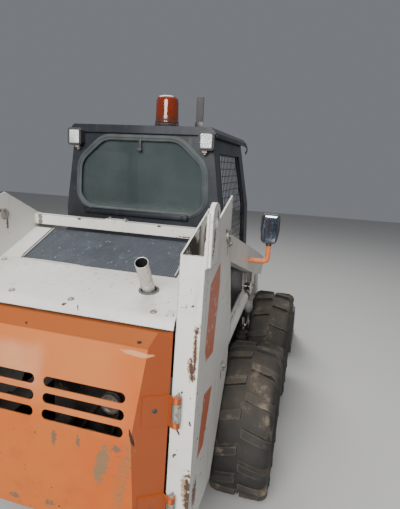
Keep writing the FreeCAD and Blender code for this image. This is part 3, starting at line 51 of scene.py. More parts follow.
# %% [markdown]
# ## The camera
# The photograph was taken from behind the machine's right rear corner, looking down a little. A
# camera is a place, a direction and a focal length. Its place and three angles were fitted to the
# machine's known sizes, so the CAD lands on the photograph and nothing is moved to match it.

# %% Camera at the photograph's place
photo_high = 509
focal_pixels = 399.6
camera_place = Vector((-2.8134, -0.9227, 1.8103))
turn_left, look_down, tilt = 0.268, 0.222, 0.052


def camera_axes():
    """Right, up and forward directions of the camera."""
    forward = Vector((math.cos(turn_left) * math.cos(look_down),
                      math.sin(turn_left) * math.cos(look_down), -math.sin(look_down)))
    right = Vector((math.sin(turn_left), -math.cos(turn_left), 0.0))
    up = right.cross(forward)
    right_tilted = right * math.cos(tilt) + up * math.sin(tilt)
    up_tilted = up * math.cos(tilt) - right * math.sin(tilt)
    return right_tilted, up_tilted, forward


def turn_to(x_way, y_way, z_way):
    """The turn that lays the three axes along these directions."""
    return Matrix((x_way, y_way, z_way)).transposed().to_4x4()


right, up, forward = camera_axes()
camera_data = bpy.data.cameras.new("photo_camera")
camera_data.sensor_width = 36.0
camera_data.lens = camera_data.sensor_width * focal_pixels / photo_high
camera = bpy.data.objects.new("photo_camera", camera_data)
camera.matrix_world = Matrix.Translation(camera_place) @ turn_to(right, up, -forward)
scene.collection.objects.link(camera)
scene.camera = camera
print("lens", round(camera_data.lens, 2), "mm")

# %% [markdown]
# ## Floor and light
# The floor is one large pale plane. In the photograph daylight comes in from behind the camera, so
# the tail is bright and the far side is dim. One large soft lamp behind the camera gives that, and
# two weak ones from above keep the top and the far side readable.

# %% Floor, lamps and sky
floor_form = bmesh.new()
bmesh.ops.create_grid(floor_form, x_segments=1, y_segments=1, size=14.0)
floor_mesh = bpy.data.meshes.new("floor")
floor_form.to_mesh(floor_mesh)
floor_form.free()
floor = bpy.data.objects.new("floor", floor_mesh)
scene.collection.objects.link(floor)
floor_material = bpy.data.materials.new("pale_floor")
floor_material.use_nodes = True
floor_shader = floor_material.node_tree.nodes["Principled BSDF"]
floor_shader.inputs["Base Color"].default_value = (0.52, 0.51, 0.49, 1.0)
floor_shader.inputs["Roughness"].default_value = 0.8
floor_mesh.materials.append(floor_material)


def soft_lamp(name, place, size, power):
    """A round area lamp that looks at the machine's middle."""
    data = bpy.data.lights.new(name, "AREA")
    data.shape = "DISK"
    data.size = size
    data.energy = power
    lamp = bpy.data.objects.new(name, data)
    lamp.location = place
    to_middle = Vector((0.0, 0.0, 0.9)) - Vector(place)
    lamp.rotation_euler = to_middle.to_track_quat("-Z", "Y").to_euler()
    scene.collection.objects.link(lamp)


soft_lamp("door_light", (-6.2, -0.5, 4.1), 3.5, 560.0)
soft_lamp("ceiling_light", (0.5, 0.5, 6.0), 5.0, 150.0)
soft_lamp("far_light", (4.0, 2.5, 6.5), 4.0, 240.0)
world = bpy.data.worlds.new("room")
world.use_nodes = True
sky = world.node_tree.nodes["Background"]
sky.inputs["Color"].default_value = (0.62, 0.66, 0.72, 1.0)
sky.inputs["Strength"].default_value = 0.30
scene.world = world
print("floor and", len(bpy.data.lights), "lamps")

# %% [markdown]
# ## Arithmetic in a shader
# Old paint is a sum of many masks, and each mask is arithmetic on noise and on the place of a spot.
# As nodes that is long to write. The class below lets it be written as plain sums, where every
# operator adds one Math node: * is "where both are", | is the larger one and & the smaller one.

# %% Small helpers for shader nodes
def add_node(tree, kind, **settings):
    """A shader node. A setting goes to its property, or else to its input of that name."""
    made = tree.nodes.new(kind)
    for key, value in settings.items():
        if hasattr(made, key):
            setattr(made, key, value)
        else:
            made.inputs[key.replace("_", " ").title()].default_value = value
    return made


def connect(tree, value, socket):
    """Gives an input a number, a colour, an output of another node or a Value."""
    if isinstance(value, (int, float)):
        socket.default_value = value
    elif isinstance(value, tuple):
        socket.default_value = (*value, 1.0)
    else:
        tree.links.new(getattr(value, "socket", value), socket)


def maths(tree, operation, *inputs):
    """One Math node. Each input is a number or a Value."""
    made = add_node(tree, "ShaderNodeMath", operation=operation)
    for socket, value in zip(made.inputs, inputs):
        connect(tree, value, socket)
    return Value(tree, made.outputs[0])


class Value:
    """A number that a shader works out for each spot of a surface."""

    def __init__(self, tree, socket):
        self.tree, self.socket = tree, socket

    def __add__(self, other):
        return maths(self.tree, "ADD", self, other)

    def __sub__(self, other):
        return maths(self.tree, "SUBTRACT", self, other)

    def __rsub__(self, other):
        return maths(self.tree, "SUBTRACT", other, self)

    def __mul__(self, other):
        return maths(self.tree, "MULTIPLY", self, other)

    def __truediv__(self, other):
        return maths(self.tree, "DIVIDE", self, other)

    def __pow__(self, other):
        return maths(self.tree, "POWER", self, other)

    def __or__(self, other):
        return maths(self.tree, "MAXIMUM", self, other)

    def __and__(self, other):
        return maths(self.tree, "MINIMUM", self, other)

    def __abs__(self):
        return maths(self.tree, "ABSOLUTE", self)

    def ramp(self, low, high, start=0.0, end=1.0):
        """Maps low..high smoothly to start..end."""
        made = add_node(self.tree, "ShaderNodeMapRange", interpolation_type="SMOOTHSTEP")
        names = ("Value", "From Min", "From Max", "To Min", "To Max")
        for name, value in zip(names, (self, low, high, start, end)):
            connect(self.tree, value, made.inputs[name])
        return Value(self.tree, made.outputs["Result"])


def blend(tree, mask, under, over, kind):
    """Puts over on under where the mask is 1. kind is VALUE for numbers and RGBA for colours."""
    made = add_node(tree, "ShaderNodeMix", data_type="RGBA" if kind == "RGBA" else "FLOAT")
    connect(tree, mask, made.inputs["Factor"])
    for name, value in (("A", under), ("B", over)):
        connect(tree, value, [item for item in made.inputs if (item.name, item.type) == (name, kind)][0])
    return [item for item in made.outputs if item.type == kind][0]


def noise(tree, place, scale, detail=4.0, roughness=0.55):
    made = add_node(tree, "ShaderNodeTexNoise", detail=detail, roughness=roughness)
    connect(tree, place, made.inputs["Vector"])
    connect(tree, scale, made.inputs["Scale"])
    return Value(tree, made.outputs["Fac"])


def stretched(tree, place, scale):
    """The place with each axis scaled, which draws noise out along the axes scaled down."""
    made = add_node(tree, "ShaderNodeMapping")
    made.inputs["Scale"].default_value = scale
    connect(tree, place, made.inputs["Vector"])
    return made.outputs["Vector"]


def one_axis(tree, vector, letter):
    split = add_node(tree, "ShaderNodeSeparateXYZ")
    connect(tree, vector, split.inputs[0])
    return Value(tree, split.outputs[letter])


def any_of(masks):
    """1 where any of the masks is 1."""
    return functools.reduce(operator.or_, masks)


print("helpers ready")

# %% [markdown]
# ## Shared surface effects
# Old paint is never one colour. It fades in patches, chips where sheets are folded, holds dust on
# top and runs dirt down its sides. Each of these is a shader node group that gives a mask from 0
# to 1, so that every finish can use it with its own numbers. The alternative, painting an image
# for each part, would need unwrapping and would blur when seen from near.

# %% Node groups that give one mask each
def new_group(name, **defaults):
    """A node group with one number input for each default. Gives its tree, place and inputs."""
    tree = bpy.data.node_groups.new(name, "ShaderNodeTree")
    for label, default in defaults.items():
        socket = tree.interface.new_socket(name=label, in_out="INPUT", socket_type="NodeSocketFloat")
        socket.default_value = default
    tree.interface.new_socket(name="Mask", in_out="OUTPUT", socket_type="NodeSocketFloat")
    start = add_node(tree, "NodeGroupInput")
    place = add_node(tree, "ShaderNodeTexCoord").outputs["Object"]
    return tree, place, [Value(tree, start.outputs[label]) for label in defaults]


def close_group(mask):
    connect(mask.tree, mask, add_node(mask.tree, "NodeGroupOutput").inputs["Mask"])
    return mask.tree


def edge_group():
    """Folds and corners, where the true surface direction differs from a rounded edge's."""
    tree, place, (width, raggedness) = new_group("worn_edges", Width=0.006, Raggedness=60.0)
    rounded = add_node(tree, "ShaderNodeBevel", samples=4)
    connect(tree, width, rounded.inputs["Radius"])
    dot = add_node(tree, "ShaderNodeVectorMath", operation="DOT_PRODUCT")
    connect(tree, rounded.outputs["Normal"], dot.inputs[0])
    connect(tree, add_node(tree, "ShaderNodeNewGeometry").outputs["Normal"], dot.inputs[1])
    fold = 1.0 - Value(tree, dot.outputs["Value"])
    broken_up = noise(tree, place, raggedness, 6.0, 0.7) * 0.7
    patches = noise(tree, place, 7.0, 3.0) * 0.6
    return close_group((fold * 2.4 + broken_up + patches).ramp(0.93, 1.0))


def patch_group():
    """Broad soft patches, as of fading or thin dirt."""
    tree, place, (scale, low, high) = new_group("patches", Scale=2.0, Low=0.4, High=0.65)
    return close_group(noise(tree, place, scale, 5.0, 0.6).ramp(low, high))


def chip_group():
    """Small sharp chips scattered in clusters."""
    tree, place, (scale, amount) = new_group("chips", Scale=40.0, Amount=0.3)
    clusters = noise(tree, place, 3.1, 2.0) * 0.45
    return close_group((noise(tree, place, scale, 3.0, 0.6) + clusters + amount * 0.2).ramp(0.97, 1.0))


def dust_group():
    """Dust that lies on faces that look up, thicker in patches."""
    tree, place, (amount, scale) = new_group("dust", Amount=0.5, Scale=5.0)
    normal = add_node(tree, "ShaderNodeNewGeometry").outputs["Normal"]
    flat = one_axis(tree, normal, "Z").ramp(0.1, 0.95, 0.12, 1.0)
    uneven = noise(tree, place, scale, 6.0, 0.65).ramp(0.3, 0.75, 0.35, 1.0)
    return close_group((flat * uneven * amount) & 1.0)


def run_group():
    """Runs of dirt or rust: noise drawn out downward and broken into lengths."""
    tree, place, (fineness, amount) = new_group("runs", Fineness=30.0, Amount=0.5)
    drawn_down = stretched(tree, place, (1.0, 1.0, 0.06))
    lines = noise(tree, drawn_down, fineness, 3.0, 0.6).ramp(0.52, 0.72)
    lengths = noise(tree, place, 3.5, 3.0).ramp(0.42, 0.62)
    return close_group(lines * lengths * amount)


effects = {"edges": edge_group(), "patches": patch_group(), "chips": chip_group(),
           "dust": dust_group(), "runs": run_group()}
print("effects", sorted(effects))

# %% [markdown]
# ## A finish made of layers
# A finish is built the way the real surface came about. It starts as fresh paint, rubber or steel,
# and then each thing that happened to it is laid over: fading, chips, scratches, runs, dust. The
# class below keeps that order readable, since each layer only names its mask and its new look.

# %% The finish class
finishes = {}


class Finish:
    """A material that starts as one plain surface and takes layers where their masks are 1."""

    def __init__(self, name, colour, roughness, metallic=0.0, sockets=None):
        self.material = bpy.data.materials.new(name)
        self.material.use_nodes = True
        self.tree = self.material.node_tree
        self.shader = self.tree.nodes["Principled BSDF"]
        self.place = add_node(self.tree, "ShaderNodeTexCoord").outputs["Object"]
        self.colour, self.roughness, self.metallic = colour, roughness, metallic
        self.height = None
        for key, value in (sockets or {}).items():
            self.shader.inputs[key].default_value = value

    def mask(self, effect, **values):
        """The mask of one of the shared effects."""
        made = add_node(self.tree, "ShaderNodeGroup", node_tree=effects[effect])
        for key, value in values.items():
            made.inputs[key.capitalize()].default_value = value
        return Value(self.tree, made.outputs["Mask"])

    def noise(self, scale, detail=4.0, roughness=0.55):
        return noise(self.tree, self.place, scale, detail, roughness)

    def axis(self, letter):
        return one_axis(self.tree, self.place, letter)

    def facing(self, letter, low, high):
        """Rises from 0 to 1 as the surface turns along the axis. It rides with the piece."""
        own_normal = add_node(self.tree, "ShaderNodeTexCoord").outputs["Normal"]
        return one_axis(self.tree, own_normal, letter).ramp(low, high)

    def spot(self, centre, reach, ragged=0.9, lean=0.0, across="Y"):
        """1 inside a ragged oval. centre and reach are (across, up); lean turns the oval."""
        side, rise = self.axis(across) - centre[0], self.axis("Z") - centre[1]
        turned_side = side * math.cos(lean) + rise * -math.sin(lean)
        turned_rise = side * math.sin(lean) + rise * math.cos(lean)
        oval = (abs(turned_side) / reach[0]) ** 2.0 + (abs(turned_rise) / reach[1]) ** 2.0
        uneven = self.noise(70.0, 8.0, 0.75) * (ragged * 8.0) - ragged * 3.9
        return (oval + uneven).ramp(0.80, 1.15, 1.0, 0.0)

    def outline(self, corners, soft=0.0012):
        """1 inside a convex outline on the side plane, its (x, z) corners counter-clockwise."""
        x, z = self.axis("X"), self.axis("Z")
        sides = []
        for start, end in zip(corners, corners[1:] + corners[:1]):
            run, rise = end[0] - start[0], end[1] - start[1]
            long = math.hypot(run, rise)
            offset = (rise * start[0] - run * start[1]) / long
            sides.append((x * (-rise / long) + z * (run / long) + offset).ramp(-soft, soft))
        return functools.reduce(operator.and_, sides)

    def from_line(self, point, way):
        """How far a spot lies from a line. It finds the inside of a pipe."""
        value = self.place
        for operation, other in (("SUBTRACT", point), ("CROSS_PRODUCT", way), ("LENGTH", None)):
            made = add_node(self.tree, "ShaderNodeVectorMath", operation=operation)
            connect(self.tree, value, made.inputs[0])
            if other is not None:
                made.inputs[1].default_value = other
            value = made.outputs["Value" if operation == "LENGTH" else "Vector"]
        return Value(self.tree, value)

    def layer(self, mask, colour=None, roughness=None, metallic=None, raise_by=0.0):
        """raise_by is in millimetres, and is negative for a chip that lies deeper."""
        if colour is not None:
            self.colour = blend(self.tree, mask, self.colour, colour, "RGBA")
        if roughness is not None:
            self.roughness = blend(self.tree, mask, self.roughness, roughness, "VALUE")
        if metallic is not None:
            self.metallic = blend(self.tree, mask, self.metallic, metallic, "VALUE")
        if raise_by:
            self.emboss(mask, raise_by)

    def emboss(self, value, millimetres):
        step = value * millimetres
        self.height = step if self.height is None else self.height + step

    def done(self):
        for key, value in (("Base Color", self.colour), ("Roughness", self.roughness),
                           ("Metallic", self.metallic)):
            connect(self.tree, value, self.shader.inputs[key])
        if self.height is not None:
            bump = add_node(self.tree, "ShaderNodeBump", distance=0.001)
            connect(self.tree, self.height, bump.inputs["Height"])
            connect(self.tree, bump.outputs["Normal"], self.shader.inputs["Normal"])
        finishes[self.material.name] = self.material


rust, dark_rust, bare_steel = (0.21, 0.075, 0.028), (0.045, 0.022, 0.014), (0.33, 0.32, 0.30)
pale_dust, brown_dust = (0.36, 0.32, 0.26), (0.16, 0.125, 0.09)
print("finish class ready")

# %% [markdown]
# ## Paint
# Most of the machine is brushed or sprayed enamel over steel. It keeps a little gloss, waves
# slightly like an orange's skin, loses colour in patches and shows primer and rust where it
# chipped. One function paints all of it, and each colour gives its own amounts.

# %% Worn enamel
def enamel(name, colour, faded, fade=(1.7, 0.45, 0.7), chips=0.3, dust=0.35, runs=0.3, gloss=0.42,
           edge=0.004, dust_colour=pale_dust):
    """Painted sheet steel. The caller may add layers and then calls done()."""
    paint = Finish(name, colour, gloss, sockets={"Coat Weight": 0.12, "Coat Roughness": 0.3})
    scale, low, high = fade
    darker = tuple(part * 0.82 for part in colour)
    paint.layer(paint.mask("patches", scale=scale, low=low, high=high), faded, gloss + 0.18)
    paint.layer(paint.mask("patches", scale=11.0, low=0.5, high=0.9), darker, gloss + 0.1)
    paint.emboss(paint.noise(260.0, 2.0), 0.10)
    paint.emboss(paint.noise(9.0, 2.0), 1.1)
    paint.layer(paint.mask("runs", fineness=34.0, amount=runs), brown_dust, 0.75)
    paint.layer(paint.mask("chips", scale=58.0, amount=chips + 0.10), rust, 0.8)
    paint.layer(paint.mask("chips", scale=58.0, amount=chips), dark_rust, 0.85, 0.2, raise_by=-0.5)
    paint.layer(paint.mask("edges", width=edge, raggedness=70.0), dark_rust, 0.7, 0.3, raise_by=-0.4)
    paint.layer(paint.mask("dust", amount=dust, scale=5.0), dust_colour, 0.9)
    return paint


enamel("trim_white", (0.66, 0.635, 0.575), (0.60, 0.565, 0.485), chips=0.10, dust=0.25, runs=0.25).done()
enamel("wheel_white", (0.60, 0.57, 0.49), (0.44, 0.40, 0.33), chips=0.30, dust=0.7, runs=0.5).done()
enamel("frame_black", (0.014, 0.014, 0.016), (0.028, 0.027, 0.026), chips=0.22, dust=0.40, runs=0.6,
       gloss=0.5, dust_colour=brown_dust).done()
enamel("cab_blue_black", (0.0085, 0.011, 0.016), (0.017, 0.022, 0.030), fade=(2.6, 0.4, 0.75), chips=0.0,
       dust=0.14, runs=0.25, gloss=0.36, edge=0.003, dust_colour=(0.13, 0.14, 0.15)).done()
print(sorted(finishes))

# %% [markdown]
# The uprights carry a red-orange sweep on their outer faces: a tall band above a short one, each
# cut off at a slant. It is a sticker, so it follows the plate's own plane and is worn like the
# paint under it. The masks are straight-sided outlines on the side plane. Their x is measured
# from the uprights' rear face, which stands the length called origin behind the frame's zero.

# %% White paint with the orange sweep on the uprights
origin = 1.590
white = enamel("sweep_white", (0.68, 0.66, 0.61), (0.60, 0.575, 0.51), chips=0.03, dust=0.22, runs=0.28,
               edge=0.006)
upper_band = [(0.122, 1.084), (0.232, 1.074), (0.283, 1.343), (0.274, 1.440), (0.129, 1.386),
              (0.097, 1.137)]
lower_band = [(0.064, 0.700), (0.154, 0.700), (0.252, 0.915), (0.121, 0.946)]
sweep = any_of(white.outline([(x - origin, z) for x, z in band]) for band in (upper_band, lower_band))
from_middle = abs(white.axis("Y"))
outer_face = from_middle.ramp(0.5968, 0.5974)
scuffed = white.noise(24.0, 5.0, 0.7).ramp(0.60, 0.66, 1.0, 0.25)
white.layer(sweep * outer_face * scuffed, (0.50, 0.105, 0.035), 0.45, raise_by=0.15)
print("sweep bands of", len(upper_band), "and", len(lower_band), "corners")

# %% [markdown]
# Someone has bumped the right upright often: its rear face has lost its paint in long slivers down
# the outer edge, and shows filler, primer and rust there. These marks belong to this one machine,
# so each is set by its place on the face and only its outline is left to noise. The pocket between
# the two plates of each upright is painted dark in patches: painted shade in the recess, with grime.

# %% Bumps and rust on the rear faces
rear_face = white.facing("X", -0.35, -0.75)
slivers = [((-0.583, 1.160), (0.0045, 0.085), 0.03), ((-0.574, 1.100), (0.007, 0.040), 0.12),
           ((-0.588, 1.250), (0.006, 0.020), -0.3), ((-0.539, 0.855), (0.004, 0.015), 0.5),
           ((-0.529, 0.756), (0.006, 0.012), -0.7), ((-0.582, 0.894), (0.004, 0.010), 0.2),
           ((-0.544, 1.009), (0.004, 0.007), 0.0), ((-0.537, 0.930), (0.003, 0.030), 0.05),
           ((-0.590, 0.620), (0.012, 0.075), 0.05), ((-0.585, 0.480), (0.010, 0.030), 0.0),
           ((-0.065, 1.273), (0.009, 0.004), 0.4), ((-0.126, 1.268), (0.003, 0.011), 0.5),
           ((-0.345, 1.460), (0.034, 0.0035), 0.0), ((-0.205, 1.501), (0.015, 0.004), 0.0),
           ((-0.405, 1.474), (0.009, 0.008), 0.0), ((0.240, 1.500), (0.012, 0.005), 0.0)]
long_slivers = slivers[:3] + slivers[8:10]
filler = any_of(white.spot(centre, (wide * 2.0, high * 1.15), 0.8, lean)
                for centre, (wide, high), lean in long_slivers)
white.layer(filler * rear_face, (0.33, 0.24, 0.15), 0.8)
bumps = any_of(white.spot(centre, reach, 1.0, lean) for centre, reach, lean in slivers)
white.layer(bumps * rear_face, (0.075, 0.040, 0.026), 0.85, 0.1, raise_by=-0.7)
outer_side = white.facing("Y", -0.5, -0.9) | white.facing("Y", 0.5, 0.9)
rust_spots = (
    (0.070, 1.560, (0.012, 0.055), 0.15), (0.104, 1.640, (0.010, 0.020), 0.0),
    (0.345, 1.548, (0.020, 0.012), 0.6), (0.392, 1.478, (0.008, 0.035), 0.0),
    (0.425, 0.872, (0.008, 0.030), 0.0), (0.050, 0.560, (0.030, 0.060), 0.0))
bled = any_of(white.spot((x - origin, z), reach, 1.1, lean, "X") for x, z, reach, lean in rust_spots)
white.layer(bled * outer_side, (0.17, 0.095, 0.050), 0.85, raise_by=-0.2)
# Painted shade with some grime: the pocket between the plates, and the arm's end in it, are painted dark in
# noisy patches.
pocket = from_middle.ramp(0.5142, 0.5149) & from_middle.ramp(0.5901, 0.5908, 1.0, 0.0)
pocket = (pocket * white.axis("X").ramp(-1.36, -1.30, 1.0, 0.0)) & (1.0 - rear_face)
shade_and_grime = white.noise(15.0, 6.0, 0.7).ramp(0.40, 0.50)
white.layer(pocket * shade_and_grime, (0.055, 0.046, 0.038), 0.9, raise_by=0.6)
white.done()
print(len(slivers), "bumps on the rear faces")

# %% [markdown]
# The tail door is the machine's brightest part. Sun and hands faded its top half to a pinkish
# orange, its top fold is darker, and things scraped along its lower right part left grey and
# rusty marks. A pale patch at its upper left is lighter faded paint with a painted reflection of
# the daylight on it, a painted highlight runs along its top lip, and its bevelled flanks are
# painted darker as painted shade. Those areas are set by place, and noise breaks up their borders.

# %% Orange paint of the tail door
door = enamel("door_orange", (0.50, 0.088, 0.001), (0.50, 0.112, 0.006), fade=(3.2, 0.42, 0.62),
              chips=0.0, dust=0.05, runs=0.0, gloss=0.34, edge=0.0035, dust_colour=(0.45, 0.30, 0.18))
level, across = door.axis("Z"), door.axis("Y")
outside = door.facing("X", -0.15, -0.5)
ragged = door.noise(5.0, 6.0, 0.65) * 0.22
upper = (level + ragged).ramp(0.93, 1.02) * across.ramp(-0.46, -0.25, 0.15, 0.8)
door.layer(upper, (0.54, 0.165, 0.042), 0.42)
# A pale patch at the upper left: lighter faded paint with a painted reflection of the daylight on it.
wavering = door.noise(9.0, 5.0, 0.6) * 0.10
pale_wide = (across + wavering).ramp(0.005, 0.075) & (across - wavering).ramp(0.115, 0.215, 1.0, 0.0)
wavy_level = level + wavering
pale_high = wavy_level.ramp(0.99, 1.08) & wavy_level.ramp(1.14, 1.20, 1.0, 0.0)
pale = pale_wide * pale_high * outside * ragged.ramp(0.05, 0.13, 1.0, 0.55)
door.layer(pale, (0.60, 0.27, 0.135), 0.40)
door.layer(level.ramp(1.172, 1.180), (0.30, 0.066, 0.003), 0.8)
# Painted shade: the bevelled flanks face sideways, away from the light, so they are painted darker.
flank_shade = door.facing("Y", -0.22, -0.40) | door.facing("Y", 0.22, 0.40)
door.layer(flank_shade, (0.26, 0.048, 0.004), 0.55)
print("orange, its fold and its flanks")

# %% Scrapes, smears and the crack on the door
smear = door.spot((-0.276, 0.712), (0.026, 0.085), 0.7, -0.2)
door.layer(outside * smear, (0.20, 0.118, 0.052), 0.7, raise_by=-0.2)
smudge_spots = (
    ((-0.074, 0.775), (0.012, 0.028)), ((-0.177, 0.781), (0.009, 0.025)), ((0.113, 0.464), (0.025, 0.012)),
    ((-0.052, 0.478), (0.022, 0.012)), ((-0.330, 0.790), (0.024, 0.014)), ((0.30, 0.70), (0.02, 0.03)))
smudges = any_of(door.spot(centre, reach, 1.0) for centre, reach in smudge_spots)
door.layer(outside * smudges, (0.15, 0.088, 0.050), 0.75)
scrape, scrape_lean = (-0.362, 0.690), -0.17
column = door.spot(scrape, (0.026, 0.15), 0.9, scrape_lean) * door.noise(75.0, 6.0, 0.8).ramp(0.47, 0.56)
door.layer(outside * column, (0.22, 0.135, 0.055), 0.8, raise_by=-0.3)
grit = door.spot(scrape, (0.034, 0.16), 0.9, scrape_lean) * door.noise(110.0, 6.0, 0.8).ramp(0.60, 0.64)
door.layer(outside * grit, (0.055, 0.028, 0.018), 0.85, raise_by=-0.4)
cracks = (((-0.392, 0.846), (0.0055, 0.034), 0.28), ((-0.395, 1.195), (0.010, 0.005), 0.0),
          ((0.07, 1.193), (0.006, 0.005), 0.0))
crack = any_of(door.spot(centre, reach, 0.5, lean) for centre, reach, lean in cracks)
door.layer(crack, (0.035, 0.010, 0.006), 0.9, raise_by=-1.5)
# Painted highlight: a pale strip along the top lip, where the light catches the fold.
lip_highlight = door.spot((-0.388, 1.155), (0.060, 0.010), 0.3, -0.05)
door.layer(outside * lip_highlight, (0.60, 0.27, 0.13), 0.3)
door.emboss(door.noise(4.5, 2.0), 5.0)
door.done()
print("door painted")

# %% [markdown]
# ## Metals, rubber and plastics
# The grille is dusty slate-coloured perforated sheet, its holes painted near-black as painted shade
# and its face dotted with painted glints. The exhaust stub is bare aluminised pipe, brown with heat
# at its foot and sooty inside. Bolts and hinges are dull zinc. Cylinder rods are chromed. The tyres
# are black rubber with dried mud between the lugs.

# %% Bare and dull metals
grille = enamel("grille_slate", (0.030, 0.038, 0.052), (0.050, 0.060, 0.078), fade=(7.0, 0.4, 0.7),
                chips=0.1, dust=0.40, runs=0.2, gloss=0.45, dust_colour=(0.09, 0.10, 0.12))
hole_pitch, enough_holes = 0.009, 400.0


def off_centre(letter, shift):
    """The square of a spot's place between two rows of holes. Counting from afar keeps it positive."""
    count = grille.axis(letter) / hole_pitch + (enough_holes + shift)
    off = maths(grille.tree, "FRACT", count) - 0.5
    return off * off


# The holes are painted near-black as the shade inside them, less so where the noise lowers the share.
holes = (off_centre("X", 0.0) + off_centre("Y", 0.25)).ramp(0.07, 0.10, 1.0, 0.0)
hole_shade_share = grille.noise(13.0, 7.0, 0.7).ramp(0.50, 0.62, 1.0, 0.15)
grille.layer(holes * hole_shade_share, (0.008, 0.009, 0.011), 0.9, raise_by=-1.5)
# Painted glints: light specks that stand in for highlights on the dusty sheet.
glints = grille.noise(42.0, 7.0, 0.75).ramp(0.60, 0.66)
grille.layer(glints, (0.20, 0.225, 0.26), 0.6, raise_by=0.5)
grille.done()

pipe = Finish("pipe_metal", (0.62, 0.60, 0.56), 0.36, 0.75)
pipe.layer(pipe.noise(18.0, 6.0, 0.6).ramp(0.45, 0.7), (0.42, 0.39, 0.33), 0.5)
pipe.layer(pipe.axis("Z").ramp(1.285, 1.31, 1.0, 0.0), (0.16, 0.12, 0.09), 0.6)
pipe.layer(pipe.mask("runs", fineness=90.0, amount=0.5), (0.25, 0.17, 0.10), 0.6)
sooty = pipe.from_line((-1.511, -0.346, 1.450), (-0.6322, -0.0915, 0.7694)).ramp(0.0226, 0.0240, 1.0, 0.0)
pipe.layer(sooty, (0.012, 0.011, 0.010), 0.9, 0.0)
pipe.emboss(pipe.noise(140.0, 3.0), 0.15)
pipe.done()

zinc = Finish("dull_zinc", (0.44, 0.43, 0.40), 0.45, 0.8)
zinc.layer(zinc.noise(55.0, 5.0, 0.65).ramp(0.45, 0.62), (0.20, 0.17, 0.13), 0.7, 0.5)
zinc.layer(zinc.mask("edges", width=0.003, raggedness=160.0), rust, 0.8, 0.2)
zinc.layer(zinc.mask("chips", scale=120.0, amount=0.5), rust, 0.85, 0.1)
zinc.emboss(zinc.noise(300.0, 3.0), 0.1)
zinc.done()

chrome = Finish("rod_chrome", (0.62, 0.62, 0.63), 0.10, 1.0)
chrome.layer(chrome.mask("patches", scale=14.0, low=0.45, high=0.7), (0.36, 0.33, 0.29), 0.32)
chrome.layer(chrome.mask("chips", scale=150.0, amount=0.3), dark_rust, 0.7, 0.3)
chrome.emboss(chrome.noise(220.0, 2.0), 0.02)
chrome.done()

iron = Finish("oily_iron", (0.055, 0.052, 0.05), 0.6, 0.4)
iron.layer(iron.mask("patches", scale=5.0, low=0.42, high=0.6), (0.02, 0.018, 0.016), 0.25)
iron.layer(iron.mask("chips", scale=30.0, amount=0.5), rust, 0.85)
iron.layer(iron.mask("dust", amount=0.9, scale=8.0), brown_dust, 0.95)
iron.emboss(iron.noise(60.0, 5.0), 0.9)
iron.done()
print("metals ready")

# %% [markdown]
# The bucket's paint is gone wherever earth slides along it, so its bare steel shows in scratches
# that run front to back, most of all low down. What is left of it rusts in patches.

# %% Rubbed steel of the bucket
bucket = enamel("rubbed_bucket", (0.035, 0.035, 0.038), (0.07, 0.066, 0.06), chips=0.5, dust=0.35,
                runs=0.5, gloss=0.5, dust_colour=brown_dust)
dragged = stretched(bucket.tree, bucket.place, (0.10, 1.0, 0.25))
scratches = noise(bucket.tree, dragged, 48.0, 7.0, 0.75).ramp(0.47, 0.60)
low_down = bucket.axis("Z").ramp(0.02, 0.26, 0.9, 0.06)
uneven = bucket.noise(4.0, 9.0, 0.75).ramp(0.40, 0.62, 0.15, 1.0)
bucket.layer(scratches * low_down * uneven, bare_steel, 0.38, 0.85)
rusty = bucket.noise(23.0, 9.0, 0.8).ramp(0.55, 0.68, 0.0, 0.9)
bucket.layer(rusty, (0.115, 0.045, 0.020), 0.85, 0.1)
bucket.done()
print("bucket steel ready")

# %% [markdown]
# Rubber greys at its edges, and mud dries on it in flat crusts. Plastic fades in patches and is
# scuffed pale at its edges. Both have a fine grain, and the seat's vinyl also has small creases.

# %% Rubber, vinyl and plastics
rubber = Finish("black_rubber", (0.012, 0.0115, 0.011), 0.75)
rubber.layer(rubber.mask("patches", scale=6.0, low=0.35, high=0.7), (0.028, 0.026, 0.023), 0.85)
rubber.layer(rubber.mask("edges", width=0.012, raggedness=40.0), (0.055, 0.050, 0.043), 0.9)
rubber.layer(rubber.noise(9.0, 8.0, 0.7).ramp(0.55, 0.68), brown_dust, 0.95, raise_by=0.7)
rubber.layer(rubber.mask("dust", amount=0.45, scale=9.0), brown_dust, 0.95)
rubber.emboss(rubber.noise(120.0, 4.0), 0.35)
rubber.done()


def plastic(name, colour, roughness, grain, dust, scuff=(0.10, 0.10, 0.10)):
    made = Finish(name, colour, roughness)
    paler = tuple(part * 1.7 for part in colour)
    made.layer(made.mask("patches", scale=9.0, low=0.4, high=0.7), paler, min(roughness + 0.15, 1.0))
    made.layer(made.mask("edges", width=0.003, raggedness=120.0), scuff, 0.7)
    made.layer(made.mask("dust", amount=dust, scale=14.0), pale_dust, 0.95)
    made.emboss(made.noise(grain, 3.0), 0.22)
    return made


plastic("black_plastic", (0.018, 0.018, 0.020), 0.5, 700.0, 0.35).done()
plastic("seal_rubber", (0.034, 0.043, 0.046), 0.6, 400.0, 0.25, (0.10, 0.12, 0.12)).done()
plastic("post_orange", (0.62, 0.17, 0.045), 0.5, 300.0, 0.3, (0.35, 0.2, 0.12)).done()
vinyl = plastic("black_vinyl", (0.020, 0.020, 0.021), 0.48, 520.0, 0.4)
creases = add_node(vinyl.tree, "ShaderNodeTexVoronoi", feature="DISTANCE_TO_EDGE", scale=46.0)
connect(vinyl.tree, vinyl.place, creases.inputs["Vector"])
vinyl.emboss(Value(vinyl.tree, creases.outputs["Distance"]).ramp(0.0, 0.14), 0.5)
vinyl.done()
print("rubber and plastics ready")

# %% [markdown]
# The pane and the beacon's cover let light through, so they keep a plain transmission value. The rear
# pane is green-grey and dusty, mostly along its foot where no cloth reaches. The lamp lenses are pressed
# with a grid of prisms, and the beacon's cover is dirtiest at its foot.

